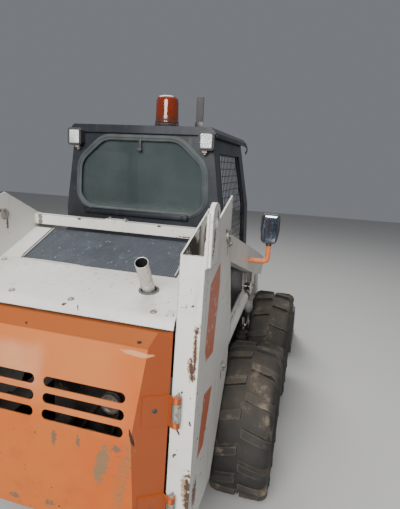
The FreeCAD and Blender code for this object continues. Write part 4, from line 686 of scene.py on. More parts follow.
# %% Glass, lamp lenses and the beacon's cover
pane = Finish("pane_glass", (0.085, 0.112, 0.108), 0.06, sockets={"Transmission Weight": 0.66, "IOR": 1.3})
pane.layer(pane.noise(4.0, 7.0, 0.65).ramp(0.35, 0.75, 0.10, 0.36), (0.26, 0.30, 0.30), 0.3)
pane.layer(pane.axis("Z").ramp(1.535, 1.60, 0.75, 0.0), (0.20, 0.245, 0.24), 0.5)
pane.done()

lens = Finish("lamp_lens", (0.62, 0.64, 0.66), 0.14, 0.35, {"Specular IOR Level": 0.9})
waves_y, waves_z = [maths(lens.tree, "SINE", lens.axis(letter) * 560.0) for letter in ("Y", "Z")]
lens.emboss(waves_y * waves_z, 0.9)
lens.layer(lens.mask("patches", scale=30.0, low=0.45, high=0.75), (0.60, 0.60, 0.58), 0.35)
lens.done()

amber = Finish("amber_cover", (0.36, 0.040, 0.004), 0.12,
               sockets={"Transmission Weight": 0.6, "Coat Weight": 0.4})
amber.layer(amber.axis("Z").ramp(2.06, 2.10, 0.8, 0.0), (0.12, 0.035, 0.015), 0.35)
amber.layer(amber.mask("dust", amount=0.2, scale=20.0), pale_dust, 0.8)
amber.done()

silvered = Finish("mirror_face", (0.24, 0.29, 0.37), 0.06, 1.0)
silvered.layer(silvered.noise(30.0, 6.0, 0.7).ramp(0.48, 0.7), (0.12, 0.15, 0.20), 0.4)
silvered.done()
print(len(finishes), "finishes")

# %% [markdown]
# Each CAD piece now takes its finish: the one listed for the longest name that its own name
# starts with. The meshes stay as the frame made them.

# %% Finishes of the CAD pieces
node_finish = {
    "tail_panel": "sweep_white", "upright": "sweep_white", "lift_arm": "sweep_white",
    "arm_cross_tube": "sweep_white", "rear_door": "door_orange", "top_grille": "grille_slate",
    "exhaust_stub": "pipe_metal", "door_hinges": "dull_zinc", "upright_pins": "dull_zinc",
    "cab": "cab_blue_black", "seat_pan": "cab_blue_black", "lap_bar": "cab_blue_black",
    "rear_window": "pane_glass", "seat_cushions": "black_vinyl", "control_levers": "black_plastic",
    "work_lamps": "black_plastic", "beacon": "amber_cover", "roof_bar": "frame_black",
    "mirror": "black_plastic", "tyre": "black_rubber", "rim": "wheel_white", "main_frame": "frame_black",
    "axle_tubes": "frame_black", "engine_block": "oily_iron", "quick_attach": "frame_black",
    "bucket": "rubbed_bucket", "lift_barrel": "sweep_white", "tilt_barrel": "frame_black",
    "lift_rod": "rod_chrome", "tilt_rod": "rod_chrome"}
for node_name, node in nodes.items():
    starts = [start for start in node_finish if node_name.startswith(start)]
    for slot in node.material_slots:
        slot.material = finishes[node_finish[max(starts, key=len)]]
print("finishes given to", len(nodes), "CAD pieces")

# %% [markdown]
# ## Ways to make a piece
# Almost everything bolted to a machine is one of three forms: turned on a lathe, drawn along a
# line, or cut from plate with its edges eased. Three helpers make those forms in a bmesh. All
# three work on a form that may hold other parts already, so one piece can be made of many.

# %% Turned, drawn and cut forms
def verts_in(items):
    return [item for item in items if isinstance(item, bmesh.types.BMVert)]


def edges_at(verts):
    return {edge for vert in verts for edge in vert.link_edges}


def ring_of(verts):
    inside = set(verts)
    return [edge for edge in edges_at(verts) if set(edge.verts) <= inside]


def next_ring(form, edges):
    """Draws a loop of edges out into a new loop, and gives its points and edges."""
    verts = verts_in(bmesh.ops.extrude_edge_only(form, edges=edges)["geom"])
    return verts, ring_of(verts)


def close_up(form, first, last, closed):
    """Joins the last ring to the first one, or else fills both."""
    if closed:
        bmesh.ops.bridge_loops(form, edges=first + last)
    else:
        bmesh.ops.holes_fill(form, edges=first + last, sides=0)


def ease(form, edges, offset, rounds):
    bmesh.ops.bevel(form, geom=edges, offset=offset, offset_type="OFFSET", segments=rounds, profile=0.5,
                    material=-1, affect="EDGES")


def turned(form, profile, place=(0, 0, 0), direction=(0, 0, 1), steps=32, closed=False):
    """A turned form from (distance, radius) pairs along a direction; closed joins its two ends."""
    verts = bmesh.ops.create_circle(form, segments=steps, radius=1.0, cap_ends=False)["verts"]
    edges = ring_of(verts)
    first, made, level, size = edges, list(verts), 0.0, 1.0
    for index, (distance, radius) in enumerate(profile):
        if index:
            verts, edges = next_ring(form, edges)
            made += verts
        bmesh.ops.scale(form, vec=(radius / size, radius / size, 1.0), verts=verts)
        bmesh.ops.translate(form, vec=(0.0, 0.0, distance - level), verts=verts)
        level, size = distance, radius
    close_up(form, first, edges, closed)
    pointing = Vector(direction).to_track_quat("Z", "Y").to_matrix().to_4x4()
    bmesh.ops.transform(form, matrix=Matrix.Translation(place) @ pointing, verts=made)
    return made


def drawn(form, path, radius, steps=12, flat=1.0, side=None, closed=False, waves=None):
    """A section carried along points; flat squeezes it across side, waves swells single rings."""
    path = [Vector(point) for point in path]
    count = len(path)
    ways = []
    for index in range(count):
        before = path[index - 1] if closed or index else path[0]
        after = path[(index + 1) % count] if closed or index < count - 1 else path[-1]
        ways.append((after - before).normalized())
    first_side = Vector(side) if side else ways[0].orthogonal()
    start = Matrix.Translation(path[0]) @ turn_to(first_side, ways[0].cross(first_side), ways[0])
    verts = bmesh.ops.create_circle(form, segments=steps, radius=radius, cap_ends=False)["verts"]
    bmesh.ops.scale(form, vec=(flat, 1.0, 1.0), verts=verts)
    bmesh.ops.transform(form, matrix=start, verts=verts)
    edges = ring_of(verts)
    first, size = edges, 1.0
    for index in range(1, count):
        verts, edges = next_ring(form, edges)
        swing = ways[index - 1].rotation_difference(ways[index]).to_matrix()
        bmesh.ops.translate(form, vec=path[index] - path[index - 1], verts=verts)
        bmesh.ops.rotate(form, cent=path[index], matrix=swing, verts=verts)
        if waves:
            wanted = waves[index % len(waves)]
            to_middle = Matrix.Translation(-path[index])
            bmesh.ops.scale(form, vec=(wanted / size,) * 3, verts=verts, space=to_middle)
            size = wanted
    close_up(form, first, edges, closed)


def cut_plate(form, low, high, edge=0.002, rounds=2, turn=None):
    """A block between two corners with eased edges; turn is a matrix laid on it afterwards."""
    verts = bmesh.ops.create_cube(form, size=1.0)["verts"]
    low, high = Vector(low), Vector(high)
    bmesh.ops.scale(form, vec=high - low, verts=verts)
    bmesh.ops.translate(form, vec=(low + high) / 2, verts=verts)
    if turn is not None:
        bmesh.ops.transform(form, matrix=turn, verts=verts)
    ease(form, list(edges_at(verts)), edge, rounds)


def rounded_path(corners, radius, steps=5, closed=True):
    """Points along straight runs with their corners rounded off."""
    corners = [Vector(corner) for corner in corners]
    points = []
    for index, corner in enumerate(corners):
        if not closed and index in (0, len(corners) - 1):
            points.append(corner)
            continue
        before = (corners[index - 1] - corner).normalized() * radius
        after = (corners[(index + 1) % len(corners)] - corner).normalized() * radius
        for step in range(steps + 1):
            share = step / steps
            points.append(corner + before * (1 - share) ** 2 + after * share ** 2)
    return points


print("three forms ready")

# %% [markdown]
# A finished form becomes a piece in one step. Merging doubles closes its seams, its faces are
# turned outward after that, and it is given its finish and the body it rides on, and the CAD pieces
# it replaces are hidden, if any.


def hand_over(form, name, finish, body="chassis", replaces=(), smooth=35.0):
    """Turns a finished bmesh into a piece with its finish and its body."""
    bmesh.ops.remove_doubles(form, verts=form.verts, dist=0.00002)
    bmesh.ops.recalc_face_normals(form, faces=form.faces)
    mesh = bpy.data.meshes.new(name)
    form.to_mesh(mesh)
    form.free()
    mesh.materials.append(finishes[finish])
    mesh.shade_smooth()
    mesh.set_sharp_from_angle(angle=math.radians(smooth))
    made = bpy.data.objects.new(name, mesh)
    scene.collection.objects.link(made)
    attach(made, body)
    for node in replaces:
        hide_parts(node)
    triangles = sum(len(face.vertices) - 2 for face in mesh.polygons)
    print(name, "rides on", body, "with", triangles, "triangles")
    return made


def row(x, y, z):
    """A place given from the uprights' rear face, as the drawings give it, in the frame's metres."""
    return Vector((x - origin, y, z))


def rows(*places):
    return [row(*place) for place in places]


sides = (("left", 1), ("right", -1))
upward, rearward = (0, 0, 1), (-1, 0, 0)
axle_x = {"rear": 0.846, "front": 1.880}
axle_z = 0.415
print("helpers ready")

# %% [markdown]
# ## Tyres
# These are wide industrial tyres with bars that slant in from each shoulder, half a pitch apart.
# The CAD tyre has plain prisms so that it stays light. Here the carcass is turned from a real
# section with a bulged side, and one bar is made, wrapped over the shoulder and copied round.
# A displacement map could not give the undercut shoulders that catch the light from behind.

# %% One bar of the tread
bar_line = [  # share of the length, top (y, radius), foot (y, radius)
    (0.00, (0.010, 0.4140), (0.004, 0.386)), (0.20, (0.040, 0.4150), (0.040, 0.386)),
    (0.40, (0.075, 0.4145), (0.075, 0.385)), (0.60, (0.112, 0.4115), (0.108, 0.380)),
    (0.75, (0.138, 0.4030), (0.128, 0.370)), (0.88, (0.1515, 0.3830), (0.132, 0.356)),
    (1.00, (0.1522, 0.3480), (0.140, 0.340))]
bar_slant, bar_half_foot, bar_narrowing, bar_middle_radius = 0.046, 0.024, 0.0055, 0.40


def along_bar(share, height):
    """Distance from the tyre's middle plane and radius, at a share of the length and of the height."""
    for (start, top, foot), (end, next_top, next_foot) in zip(bar_line, bar_line[1:]):
        if share <= end + 1e-6:
            part = (share - start) / (end - start)
            high = Vector(top).lerp(Vector(next_top), part)
            low = Vector(foot).lerp(Vector(next_foot), part)
            return low.lerp(high, height)
    return Vector(bar_line[-1][1])


def along_x(edge):
    return abs(edge.verts[0].co.x - edge.verts[1].co.x)


def tread_bar(form):
    """A cube cut into lengths, wrapped round the shoulder, with its outer edges eased."""
    verts = bmesh.ops.create_cube(form, size=1.0)["verts"]
    bmesh.ops.translate(form, vec=(0.5, 0.0, 0.5), verts=verts)
    long_edges = [edge for edge in form.edges if along_x(edge) > 0.5]
    bmesh.ops.subdivide_edges(form, edges=long_edges, cuts=9, use_grid_fill=True)
    top_edges = []
    for edge in form.edges:
        rung = along_x(edge) < 0.01 and 0.001 < edge.verts[0].co.x < 0.999
        if all(vert.co.z > 0.9 for vert in edge.verts) and not rung:
            top_edges.append(edge)
    for vert in form.verts:
        share, sideways, height = vert.co
        y, radius = along_bar(share, height)
        half = bar_half_foot - bar_narrowing * height
        angle = (sideways * 2 * half + bar_slant * (share - 0.5)) / bar_middle_radius
        vert.co = (radius * math.sin(angle), y, radius * math.cos(angle))
    ease(form, top_edges, 0.0035, 2)


# %% The whole tyre, made once and set at four places
def tyre_form():
    form = bmesh.new()
    tread_bar(form)
    bar = list(form.verts) + list(form.edges) + list(form.faces)
    bars = 15
    copies = [(1, step) for step in range(1, bars)] + [(-1, step + 0.5) for step in range(bars)]
    for row_side, step in copies:
        verts = verts_in(bmesh.ops.duplicate(form, geom=bar)["geom"])
        bmesh.ops.scale(form, vec=(1.0, row_side, 1.0), verts=verts)
        bmesh.ops.rotate(form, matrix=Matrix.Rotation(math.tau * step / bars, 3, "Y"), verts=verts)
    half = [(0.124, 0.2094), (0.131, 0.214), (0.138, 0.224), (0.142, 0.236), (0.1475, 0.250),
            (0.1515, 0.272), (0.1522, 0.292), (0.1495, 0.296), (0.1495, 0.301), (0.1520, 0.305),
            (0.1505, 0.325), (0.1460, 0.344), (0.1395, 0.362), (0.1300, 0.377), (0.1150, 0.386),
            (0.085, 0.3905), (0.045, 0.3925)]
    section = half + [(0.0, 0.3930)] + [(-y, radius) for y, radius in reversed(half)]
    turned(form, section, direction=(0, 1, 0), steps=96, closed=True)
    return form


wheel_y = 0.7015
wheels = {}
for axle, x in axle_x.items():
    for name, side in sides:
        wheels[axle + "_" + name] = (row(x, side * wheel_y, axle_z), side)
base = tyre_form()
pattern = bpy.data.meshes.new("tyre_pattern")
base.to_mesh(pattern)
base.free()
for name, (spot, side) in wheels.items():
    form = bmesh.new()
    form.from_mesh(pattern)
    turn = Matrix.Identity(4) if side > 0 else Matrix.Rotation(math.pi, 4, "Z")
    bmesh.ops.transform(form, matrix=Matrix.Translation(spot) @ turn, verts=form.verts)
    hand_over(form, "tyre_tread_" + name, "black_rubber", "wheel_" + name, ["tyre_" + name], 40.0)

# %% [markdown]
# ## Wheels
# Each steel wheel is held by eight nuts on coned washers, round a hub with a pressed cap. The
# rim's edges are rolled over, and one valve stands out of the disc. They are small, but the nuts
# show rust streaks and tell the eye how big the wheel is.

# %% Nuts, hub caps and rolled edges
def hexagon(form, place, direction, across, high, washer=0.0):
    """A nut or bolt head with chamfered corners, on a washer if one is asked for."""
    if washer:
        turned(form, [(0.0, washer), (0.0022, washer), (0.0024, washer * 0.9)], place, direction, 20)
    foot = 0.0024 if washer else 0.0
    turned(form, [(foot, across), (foot + high * 0.8, across), (foot + high, across * 0.82)],
           place, direction, 6)


def round_about(middle, radius, count):
    """Points round a circle that stands across the machine."""
    angles = [math.tau * step / count for step in range(count)]
    return [Vector(middle) + Vector((math.cos(angle), 0, math.sin(angle))) * radius for angle in angles]


stud = [(0.0, 0.0072), (0.006, 0.0072), (0.007, 0.0055)]
valve = [(0.0, 0.0045), (0.020, 0.0045), (0.021, 0.0055), (0.030, 0.005), (0.031, 0.003)]
cap = [(0.0, 0.043), (0.010, 0.043), (0.018, 0.040), (0.023, 0.031), (0.025, 0.016), (0.0255, 0.004)]
rolled_edge = [(-0.006, 0.2085), (0.0, 0.2092), (0.005, 0.2080), (0.007, 0.2045), (0.005, 0.2012),
               (0.0, 0.2004), (-0.006, 0.2008)]
for name, (spot, side) in wheels.items():
    out = Vector((0, side, 0))
    form = bmesh.new()
    for place in round_about(spot, 0.070, 8):
        hexagon(form, place + out * 0.0375, out, 0.0125, 0.014, 0.0165)
        turned(form, stud, place + out * 0.052, out, 14)
    turned(form, valve, spot + Vector((0.0, 0.0, 0.150)) + out * 0.020, out, 12)
    hand_over(form, "wheel_nuts_" + name, "dull_zinc", "wheel_" + name)
    form = bmesh.new()
    turned(form, cap, spot + out * 0.0455, out, 40)
    for way in (-out, out):
        turned(form, rolled_edge, spot + way * 0.129, way, 64, closed=True)
    hand_over(form, "hub_cap_" + name, "wheel_white", "wheel_" + name)

# %% [markdown]
# ## Rear window
# The pane is held in a thick rubber seal that overlaps the cab's sheet and the glass. Its eight
# corners are rounded, because rubber can't fold sharply. A flat section is drawn round the opening
# once, and a thinner locking strip is pressed into its middle, which shows as a second line.

# %% Window seal, locking strip and ledge
window_corners = [(0.302, 1.535), (0.376, 1.595), (0.366, 1.800), (0.220, 1.930)]
window_corners += [(-y, z) for y, z in reversed(window_corners)]
window_middle = Vector((0.0, 1.73))
cab_rear_x = 0.820


def window_loop(grow, x, radius):
    """The opening's outline moved outward by grow, with rounded corners."""
    loop = []
    for corner in window_corners:
        moved = Vector(corner) + (Vector(corner) - window_middle).normalized() * grow
        loop.append(row(x, moved.x, moved.y))
    return rounded_path(loop, radius, 6)


form = bmesh.new()
drawn(form, window_loop(0.002, cab_rear_x - 0.002, 0.050), 0.017, 14, 0.45, side=(1, 0, 0), closed=True)
hand_over(form, "window_seal", "seal_rubber")
form = bmesh.new()
drawn(form, window_loop(0.004, cab_rear_x - 0.0095, 0.050), 0.0042, 8, side=(1, 0, 0), closed=True)
drawn(form, window_loop(-0.014, cab_rear_x - 0.0065, 0.045), 0.0026, 8, side=(1, 0, 0), closed=True)
hand_over(form, "window_locking_strip", "seal_rubber")
form = bmesh.new()
cut_plate(form, row(0.798, -0.285, 1.509), row(0.808, 0.335, 1.540), 0.004, 3)
cut_plate(form, row(0.790, -0.285, 1.537), row(0.812, 0.335, 1.5405), 0.0015)
for y in (-0.255, 0.0, 0.305):
    cut_plate(form, row(0.804, y - 0.016, 1.513), row(0.8195, y + 0.016, 1.531), 0.002)
    hexagon(form, row(0.798, y, 1.523), rearward, 0.0075, 0.006, 0.011)
hand_over(form, "window_ledge", "cab_blue_black")

# %% [markdown]
# ## Work lamps
# Each lamp is a square reflector lamp: a pressed lens with a grid of prisms, held in a plastic
# frame by a thin ring, on a bent bracket with one bolt under it. The frame and the housing are
# CAD. The lens stands a little proud and its edge is rounded, so it catches light as a real one.

# %% Lenses, rings and brackets
lamp_y, lamp_z, lamp_face = 0.375, 1.925, 0.7742


def four_corners(middle, x, half_wide, half_high):
    """Corners of an upright rectangle that faces the rear, in order round it."""
    quarters = ((1, 1), (-1, 1), (-1, -1), (1, -1))
    return [middle + Vector((x, half_wide * y, half_high * z)) for y, z in quarters]


lens_form, ring_form, bracket_form = bmesh.new(), bmesh.new(), bmesh.new()
for side in (1, -1):
    middle = row(lamp_face, side * lamp_y, lamp_z)
    cut_plate(lens_form, middle + Vector((-0.002, -0.031, -0.036)), middle + Vector((0.004, 0.031, 0.036)),
              0.0045, 4)
    ring = rounded_path(four_corners(middle, -0.0015, 0.034, 0.039), 0.011, 5)
    drawn(ring_form, ring, 0.0036, 10, side=(1, 0, 0), closed=True)
    foot = row(0.797, side * (lamp_y - 0.010), lamp_z - 0.030)
    for low, high in (((-0.014, -0.014, -0.028), (0.0225, 0.014, -0.024)),
                      ((-0.014, -0.014, -0.026), (-0.010, 0.014, 0.004))):
        cut_plate(bracket_form, foot + Vector(low), foot + Vector(high), 0.0012)
    hexagon(bracket_form, foot + Vector((0.002, 0, -0.028)), (0, 0, -1), 0.0085, 0.008, 0.012)
hand_over(lens_form, "lamp_lenses", "lamp_lens")
hand_over(ring_form, "lamp_rings", "black_plastic")
hand_over(bracket_form, "lamp_brackets", "dull_zinc")

# %% [markdown]
# ## Beacon
# The amber cover is a moulding with fine upright ribs that spread the light, a rounded crown and
# a collar that twists onto a rubber foot. The ribs are made by drawing in every other line of the
# turned form. A bright holder inside gives the warm spot that the photograph shows.

# %% Beacon cover, collar and foot
beacon_foot = row(1.206, 0.0, 1.9943)
cover_lines = 96
cover = [(0.046, 0.070), (0.052, 0.0735), (0.060, 0.0735), (0.064, 0.070), (0.090, 0.0695),
         (0.140, 0.0685), (0.176, 0.0675), (0.190, 0.0650), (0.200, 0.0590), (0.207, 0.0480),
         (0.2105, 0.034), (0.2115, 0.016), (0.2117, 0.004)]
form = bmesh.new()
ribs = []
for vert in turned(form, cover, beacon_foot, steps=cover_lines):
    away = vert.co - beacon_foot
    line = round(math.atan2(away.y, away.x) / math.tau * cover_lines)
    if line % 2 == 0 and 0.066 < away.z < 0.192:
        ribs.append(vert)
bmesh.ops.scale(form, vec=(0.982, 0.982, 1.0), verts=ribs, space=Matrix.Translation(-beacon_foot))
hand_over(form, "beacon_cover", "amber_cover", replaces=["beacon"], smooth=50.0)
collar = [(0.0, 0.058), (0.004, 0.060), (0.016, 0.0585), (0.020, 0.062), (0.026, 0.070), (0.036, 0.0735),
          (0.044, 0.0745), (0.0455, 0.0725), (0.0455, 0.060)]
form = bmesh.new()
turned(form, collar, beacon_foot, steps=56)
for index in range(3):
    angle = math.tau * index / 3 + 0.4
    catch = beacon_foot + Vector((math.cos(angle), math.sin(angle), 0)) * 0.0715
    cut_plate(form, (-0.009, -0.005, 0.024), (0.009, 0.005, 0.050), 0.002, 2,
              Matrix.Translation(catch) @ Matrix.Rotation(angle + math.pi / 2, 4, "Z"))
hand_over(form, "beacon_foot", "black_plastic")
holder = [(0.046, 0.030), (0.060, 0.026), (0.074, 0.012), (0.105, 0.011), (0.112, 0.018), (0.135, 0.019),
          (0.142, 0.012), (0.150, 0.004)]
form = bmesh.new()
turned(form, holder, beacon_foot, steps=28)
hand_over(form, "beacon_lamp_holder", "mirror_face")

# %% [markdown]
# ## Mirror
# The mirror is a crowned plastic shell with a rolled rim round slightly dirty glass. It stands on
# a painted tube that turns in and is clamped to the right lift arm, so it rises with the arm. The
# shell is a rounded block drawn in toward its foot.

# %% Mirror shell, glass and stem
mirror_x, mirror_y, clamp_z = 1.130, -0.695, 1.262
mirror_middle = row(mirror_x, mirror_y, 1.462)
shell_half = Vector((0.020, 0.055, 0.089))
narrow_below = 0.42


def shell_level(vert):
    """0 at the shell's foot and 1 at its top."""
    return (vert.co.z - mirror_middle.z + shell_half.z) / (2 * shell_half.z)


def draw_in(vert, share):
    vert.co.y = mirror_middle.y + (vert.co.y - mirror_middle.y) * share


def narrowed(form, low_share=0.70):
    """Draws the form in across toward its foot, as the mirror's outline does."""
    for vert in form.verts:
        level = shell_level(vert)
        share = low_share + (1 - low_share) * min(max(level / narrow_below, 0.0), 1.0) ** 0.7
        crown = 1 - 0.10 * max(level - 0.8, 0.0) / 0.2
        draw_in(vert, share * crown)


def split_long(form, cuts):
    long_edges = [edge for edge in form.edges if edge.calc_length() > 0.05]
    bmesh.ops.subdivide_edges(form, edges=long_edges, cuts=cuts, use_grid_fill=True)


form = bmesh.new()
cut_plate(form, mirror_middle - shell_half, mirror_middle + shell_half, 0.0175, 5)
split_long(form, 6)
narrowed(form)
rim = rounded_path(four_corners(mirror_middle, -0.0185, 0.049, 0.083), 0.026, 6)
drawn(form, rim, 0.0042, 10, side=(1, 0, 0), closed=True)
socket = [(0.0, 0.017), (0.012, 0.017), (0.016, 0.014)]
turned(form, socket, mirror_middle - Vector((0, 0, 0.102)), steps=20)
for vert in form.verts:
    on_rim = vert.co.x < mirror_middle.x - 0.0135 and abs(vert.co.z - mirror_middle.z) < 0.088
    if on_rim and shell_level(vert) <= narrow_below:
        draw_in(vert, 0.86 + shell_level(vert) / 3)
hand_over(form, "mirror_shell", "black_plastic", "lift_arms", ["mirror"], 45.0)
form = bmesh.new()
cut_plate(form, mirror_middle - Vector((0.0215, 0.043, 0.077)),
          mirror_middle + Vector((-0.0185, 0.043, 0.077)), 0.0012)
split_long(form, 5)
narrowed(form, 0.78)
hand_over(form, "mirror_glass", "mirror_face", "lift_arms")
form = bmesh.new()
clamp = row(mirror_x, -0.5845, clamp_z)
stem = [mirror_middle - Vector((0, 0, 0.095)), row(mirror_x, mirror_y, clamp_z), clamp]
drawn(form, rounded_path(stem, 0.030, 6, closed=False), 0.0105, 16)
turned(form, [(0.0, 0.020), (0.004, 0.020), (0.006, 0.017), (0.018, 0.0145)], clamp, (0, -1, 0), 24)
for shift in (-0.0145, 0.0145):
    hexagon(form, clamp + Vector((shift, -0.001, 0)), (0, -1, 0), 0.0045, 0.009)
hand_over(form, "mirror_stem", "post_orange", "lift_arms")

# %% [markdown]
# ## Roof
# Rain strips are folded along the roof's long edges. At the front right corner the strip has been
# torn and hangs down, which breaks the roof's outline in the photograph. The flat bar behind the
# beacon stands on a small foot with two bolts.

# %% Rain strips, torn corner and bar foot
roof_half, roof_top = 0.416, 1.994
form = bmesh.new()
for side in (1, -1):
    edge_y = side * roof_half
    cut_plate(form, row(0.812, edge_y - 0.004, 1.9455), row(1.690, edge_y + 0.001, 1.957), 0.0012)
torn = rows((1.690, -0.4150, 1.951), (1.712, -0.4165, 1.951), (1.727, -0.4200, 1.944),
            (1.726, -0.4235, 1.925), (1.716, -0.4200, 1.908), (1.703, -0.4170, 1.900))
drawn(form, rounded_path(torn, 0.006, 3, closed=False), 0.0085, 8, 0.28, side=(0, 1, 0))
for x in (0.90, 1.20, 1.50, 1.66):
    for side in (1, -1):
        hexagon(form, row(x, side * 0.340, roof_top), upward, 0.0075, 0.006, 0.013)
cut_plate(form, row(0.945, -0.312, roof_top), row(0.9595, -0.248, roof_top + 0.004), 0.0012)
cut_plate(form, row(0.956, -0.303, roof_top), row(0.9605, -0.257, roof_top + 0.040), 0.0012)
for y in (-0.305, -0.255):
    hexagon(form, row(0.951, y, roof_top + 0.004), upward, 0.006, 0.005)
hand_over(form, "roof_trim", "cab_blue_black")

# %% [markdown]
# ## Tail
# The white tail panel is held by domed bolts on washers. A thin bright lip is bent up along the
# grille's rear edge, and a rubber ring closes the hole round the exhaust pipe. The pipe's open end
# has a rolled rim. Between the uprights, the cross beam's tab is held by two small bolts.

# %% Panel bolts and grille lip
slope_start, slope_foot, slope_rise, slope_run = 0.012, 1.280, 50, 328
slope_up = Vector((-slope_rise, 0, slope_run)).normalized()


def on_slope(x, y):
    """A place on the tail panel's slope."""
    return row(x, y, slope_foot + (x - slope_start) * slope_rise / slope_run)


bolt_spots = ((0.040, -0.414), (0.040, -0.076), (0.040, 0.192), (0.040, 0.440), (0.300, -0.455),
              (0.300, 0.455))
washer = [(0.0, 0.0135), (0.0018, 0.0135), (0.0022, 0.0120)]
dome = [(0.0020, 0.0092), (0.0045, 0.0088), (0.0068, 0.0066), (0.0078, 0.0030)]
form = bmesh.new()
for x, y in bolt_spots:
    for profile in (washer, dome):
        turned(form, profile, on_slope(x, y), slope_up, 24)
for y in (-0.012, 0.072):
    hexagon(form, row(0.621, y, 1.514), upward, 0.0065, 0.006, 0.011)
for side in (1, -1):
    for z in (1.468, 1.494):
        hexagon(form, row(0.602, side * 0.478, z), rearward, 0.0085, 0.007, 0.014)
hand_over(form, "panel_bolts", "dull_zinc")
form = bmesh.new()
lip = rows((0.337, 0.385, 1.3305), (0.334, 0.250, 1.3335), (0.330, 0.120, 1.3330), (0.334, 0.052, 1.3295))
drawn(form, rounded_path(lip, 0.05, 5, closed=False), 0.0032, 8, 0.6)
for side in (1, -1):
    drawn(form, rows((0.345, side * 0.386, 1.338), (0.590, side * 0.386, 1.4405)), 0.0022, 8)
hand_over(form, "grille_lip", "trim_white")

# %% [markdown]
# The exhaust's parts are all turned round the pipe's own line, which leans back. Their profiles
# are closed rings, so the pipe stays open.

# %% Exhaust rim, seam and rubber ring
pipe_end, pipe_foot = rows((0.079, -0.346, 1.450), (0.231, -0.324, 1.265))
pipe_way = (pipe_end - pipe_foot).normalized()
open_rim = [(-0.004, 0.0252), (-0.001, 0.0262), (0.0012, 0.0255), (0.0016, 0.0240), (0.0008, 0.0225),
            (-0.003, 0.0222)]
seam = [(-0.008, 0.0256), (-0.008, 0.0272), (0.008, 0.0272), (0.008, 0.0256)]
grommet = [(-0.003, 0.031), (-0.003, 0.041), (0.0035, 0.042), (0.0055, 0.039), (0.0052, 0.033)]
form = bmesh.new()
turned(form, open_rim, pipe_end, pipe_way, 40, closed=True)
turned(form, seam, pipe_foot.lerp(pipe_end, 0.44), pipe_way, 40, closed=True)
hand_over(form, "exhaust_rim", "pipe_metal")
form = bmesh.new()
turned(form, grommet, on_slope(0.196, -0.329), slope_up, 40, closed=True)
hand_over(form, "exhaust_grommet", "seal_rubber")

# %% [markdown]
# ## Door hinges and latch
# Each strap is bolted through the door's bevelled side with one domed bolt, black with old grease.
# A grease nipple stands on top of every hinge pin. The latch is on the side that the photograph
# doesn't show. Doors of this kind have a turned lock with a pull, so that is what is made here.

# %% Strap bolts, hinge washers and the latch
door_flank = Vector((-0.832, -0.552, 0.052)).normalized()
strap_bolt = [(0.0, 0.0100), (0.0016, 0.0098), (0.0018, 0.0070), (0.0040, 0.0064), (0.0052, 0.0040)]
form = bmesh.new()
for spot in rows((-0.0412, -0.460, 0.946), (-0.0664, -0.460, 0.546)):
    turned(form, strap_bolt, spot, door_flank, 20)
hand_over(form, "strap_bolts", "black_plastic", "rear_door")
hinge_way = Vector((0.0630, 0.0, 0.9980)).normalized()
hinge_nipple = [(0.0018, 0.0045), (0.0050, 0.0045), (0.0056, 0.0030), (0.0085, 0.0026), (0.0095, 0.0034),
                (0.0115, 0.0030), (0.0122, 0.0012)]
form = bmesh.new()
for top in rows((0.0012, -0.535, 0.9985), (-0.0240, -0.535, 0.5992)):
    turned(form, [(0.0, 0.0105), (0.0016, 0.0105), (0.0020, 0.0092)], top, hinge_way, 20)
    turned(form, hinge_nipple, top, hinge_way, 12)
hand_over(form, "hinge_nipples", "dull_zinc")
latch_spot, latch_out = row(-0.0885, 0.345, 0.735), Vector((-1.0, 0.0, 0.03)).normalized()
lock = [(-0.003, 0.029), (0.0015, 0.029), (0.0030, 0.0275), (0.0032, 0.0185), (0.0090, 0.0175),
        (0.0110, 0.0150)]
form = bmesh.new()
turned(form, lock, latch_spot, latch_out, 32)
pull = [latch_spot + latch_out * out + Vector((0, along, 0))
        for out, along in ((0.008, 0.012), (0.017, 0.030), (0.020, 0.072))]
drawn(form, rounded_path(pull, 0.010, 4, closed=False), 0.0075, 12, 0.6)
hand_over(form, "door_latch", "dull_zinc", "rear_door")

# %% [markdown]
# ## Pins and keepers
# The lift arms turn on thick pins. A flat keeper with one bolt stops each pin from turning, and a
# grease nipple sits in its middle. The photograph shows one of them, on the right upright. The
# other pins get the same parts, since one maker used one kind of pin everywhere.

# %% Pin ends, keepers and nipples
pin_nipple = [(0.0020, 0.0042), (0.0055, 0.0042), (0.0060, 0.0028), (0.0085, 0.0026), (0.0095, 0.0034),
              (0.0112, 0.0030), (0.0118, 0.0012)]


def pin_end(form, place, out, radius, keeper=None):
    """A chamfered pin end with a nipple, and a keeper plate with its bolt toward a direction."""
    out = Vector(out)
    turned(form, [(-0.001, radius), (0.0020, radius), (0.0035, radius - 0.0018), (0.0036, radius * 0.42),
                  (0.0024, radius * 0.34)], place, out, 32)
    turned(form, pin_nipple, place, out, 12)
    if keeper is not None:
        keeper = Vector(keeper).normalized()
        turn = turn_to(keeper, out.cross(keeper), out)
        cut_plate(form, (radius * 0.45, -0.011, 0.0002), (radius + 0.030, 0.011, 0.0052), 0.0014, 2,
                  Matrix.Translation(place - out * 0.0005) @ turn)
        hexagon(form, place + keeper * (radius + 0.018) + out * 0.0045, out, 0.0085, 0.0065, 0.0105)


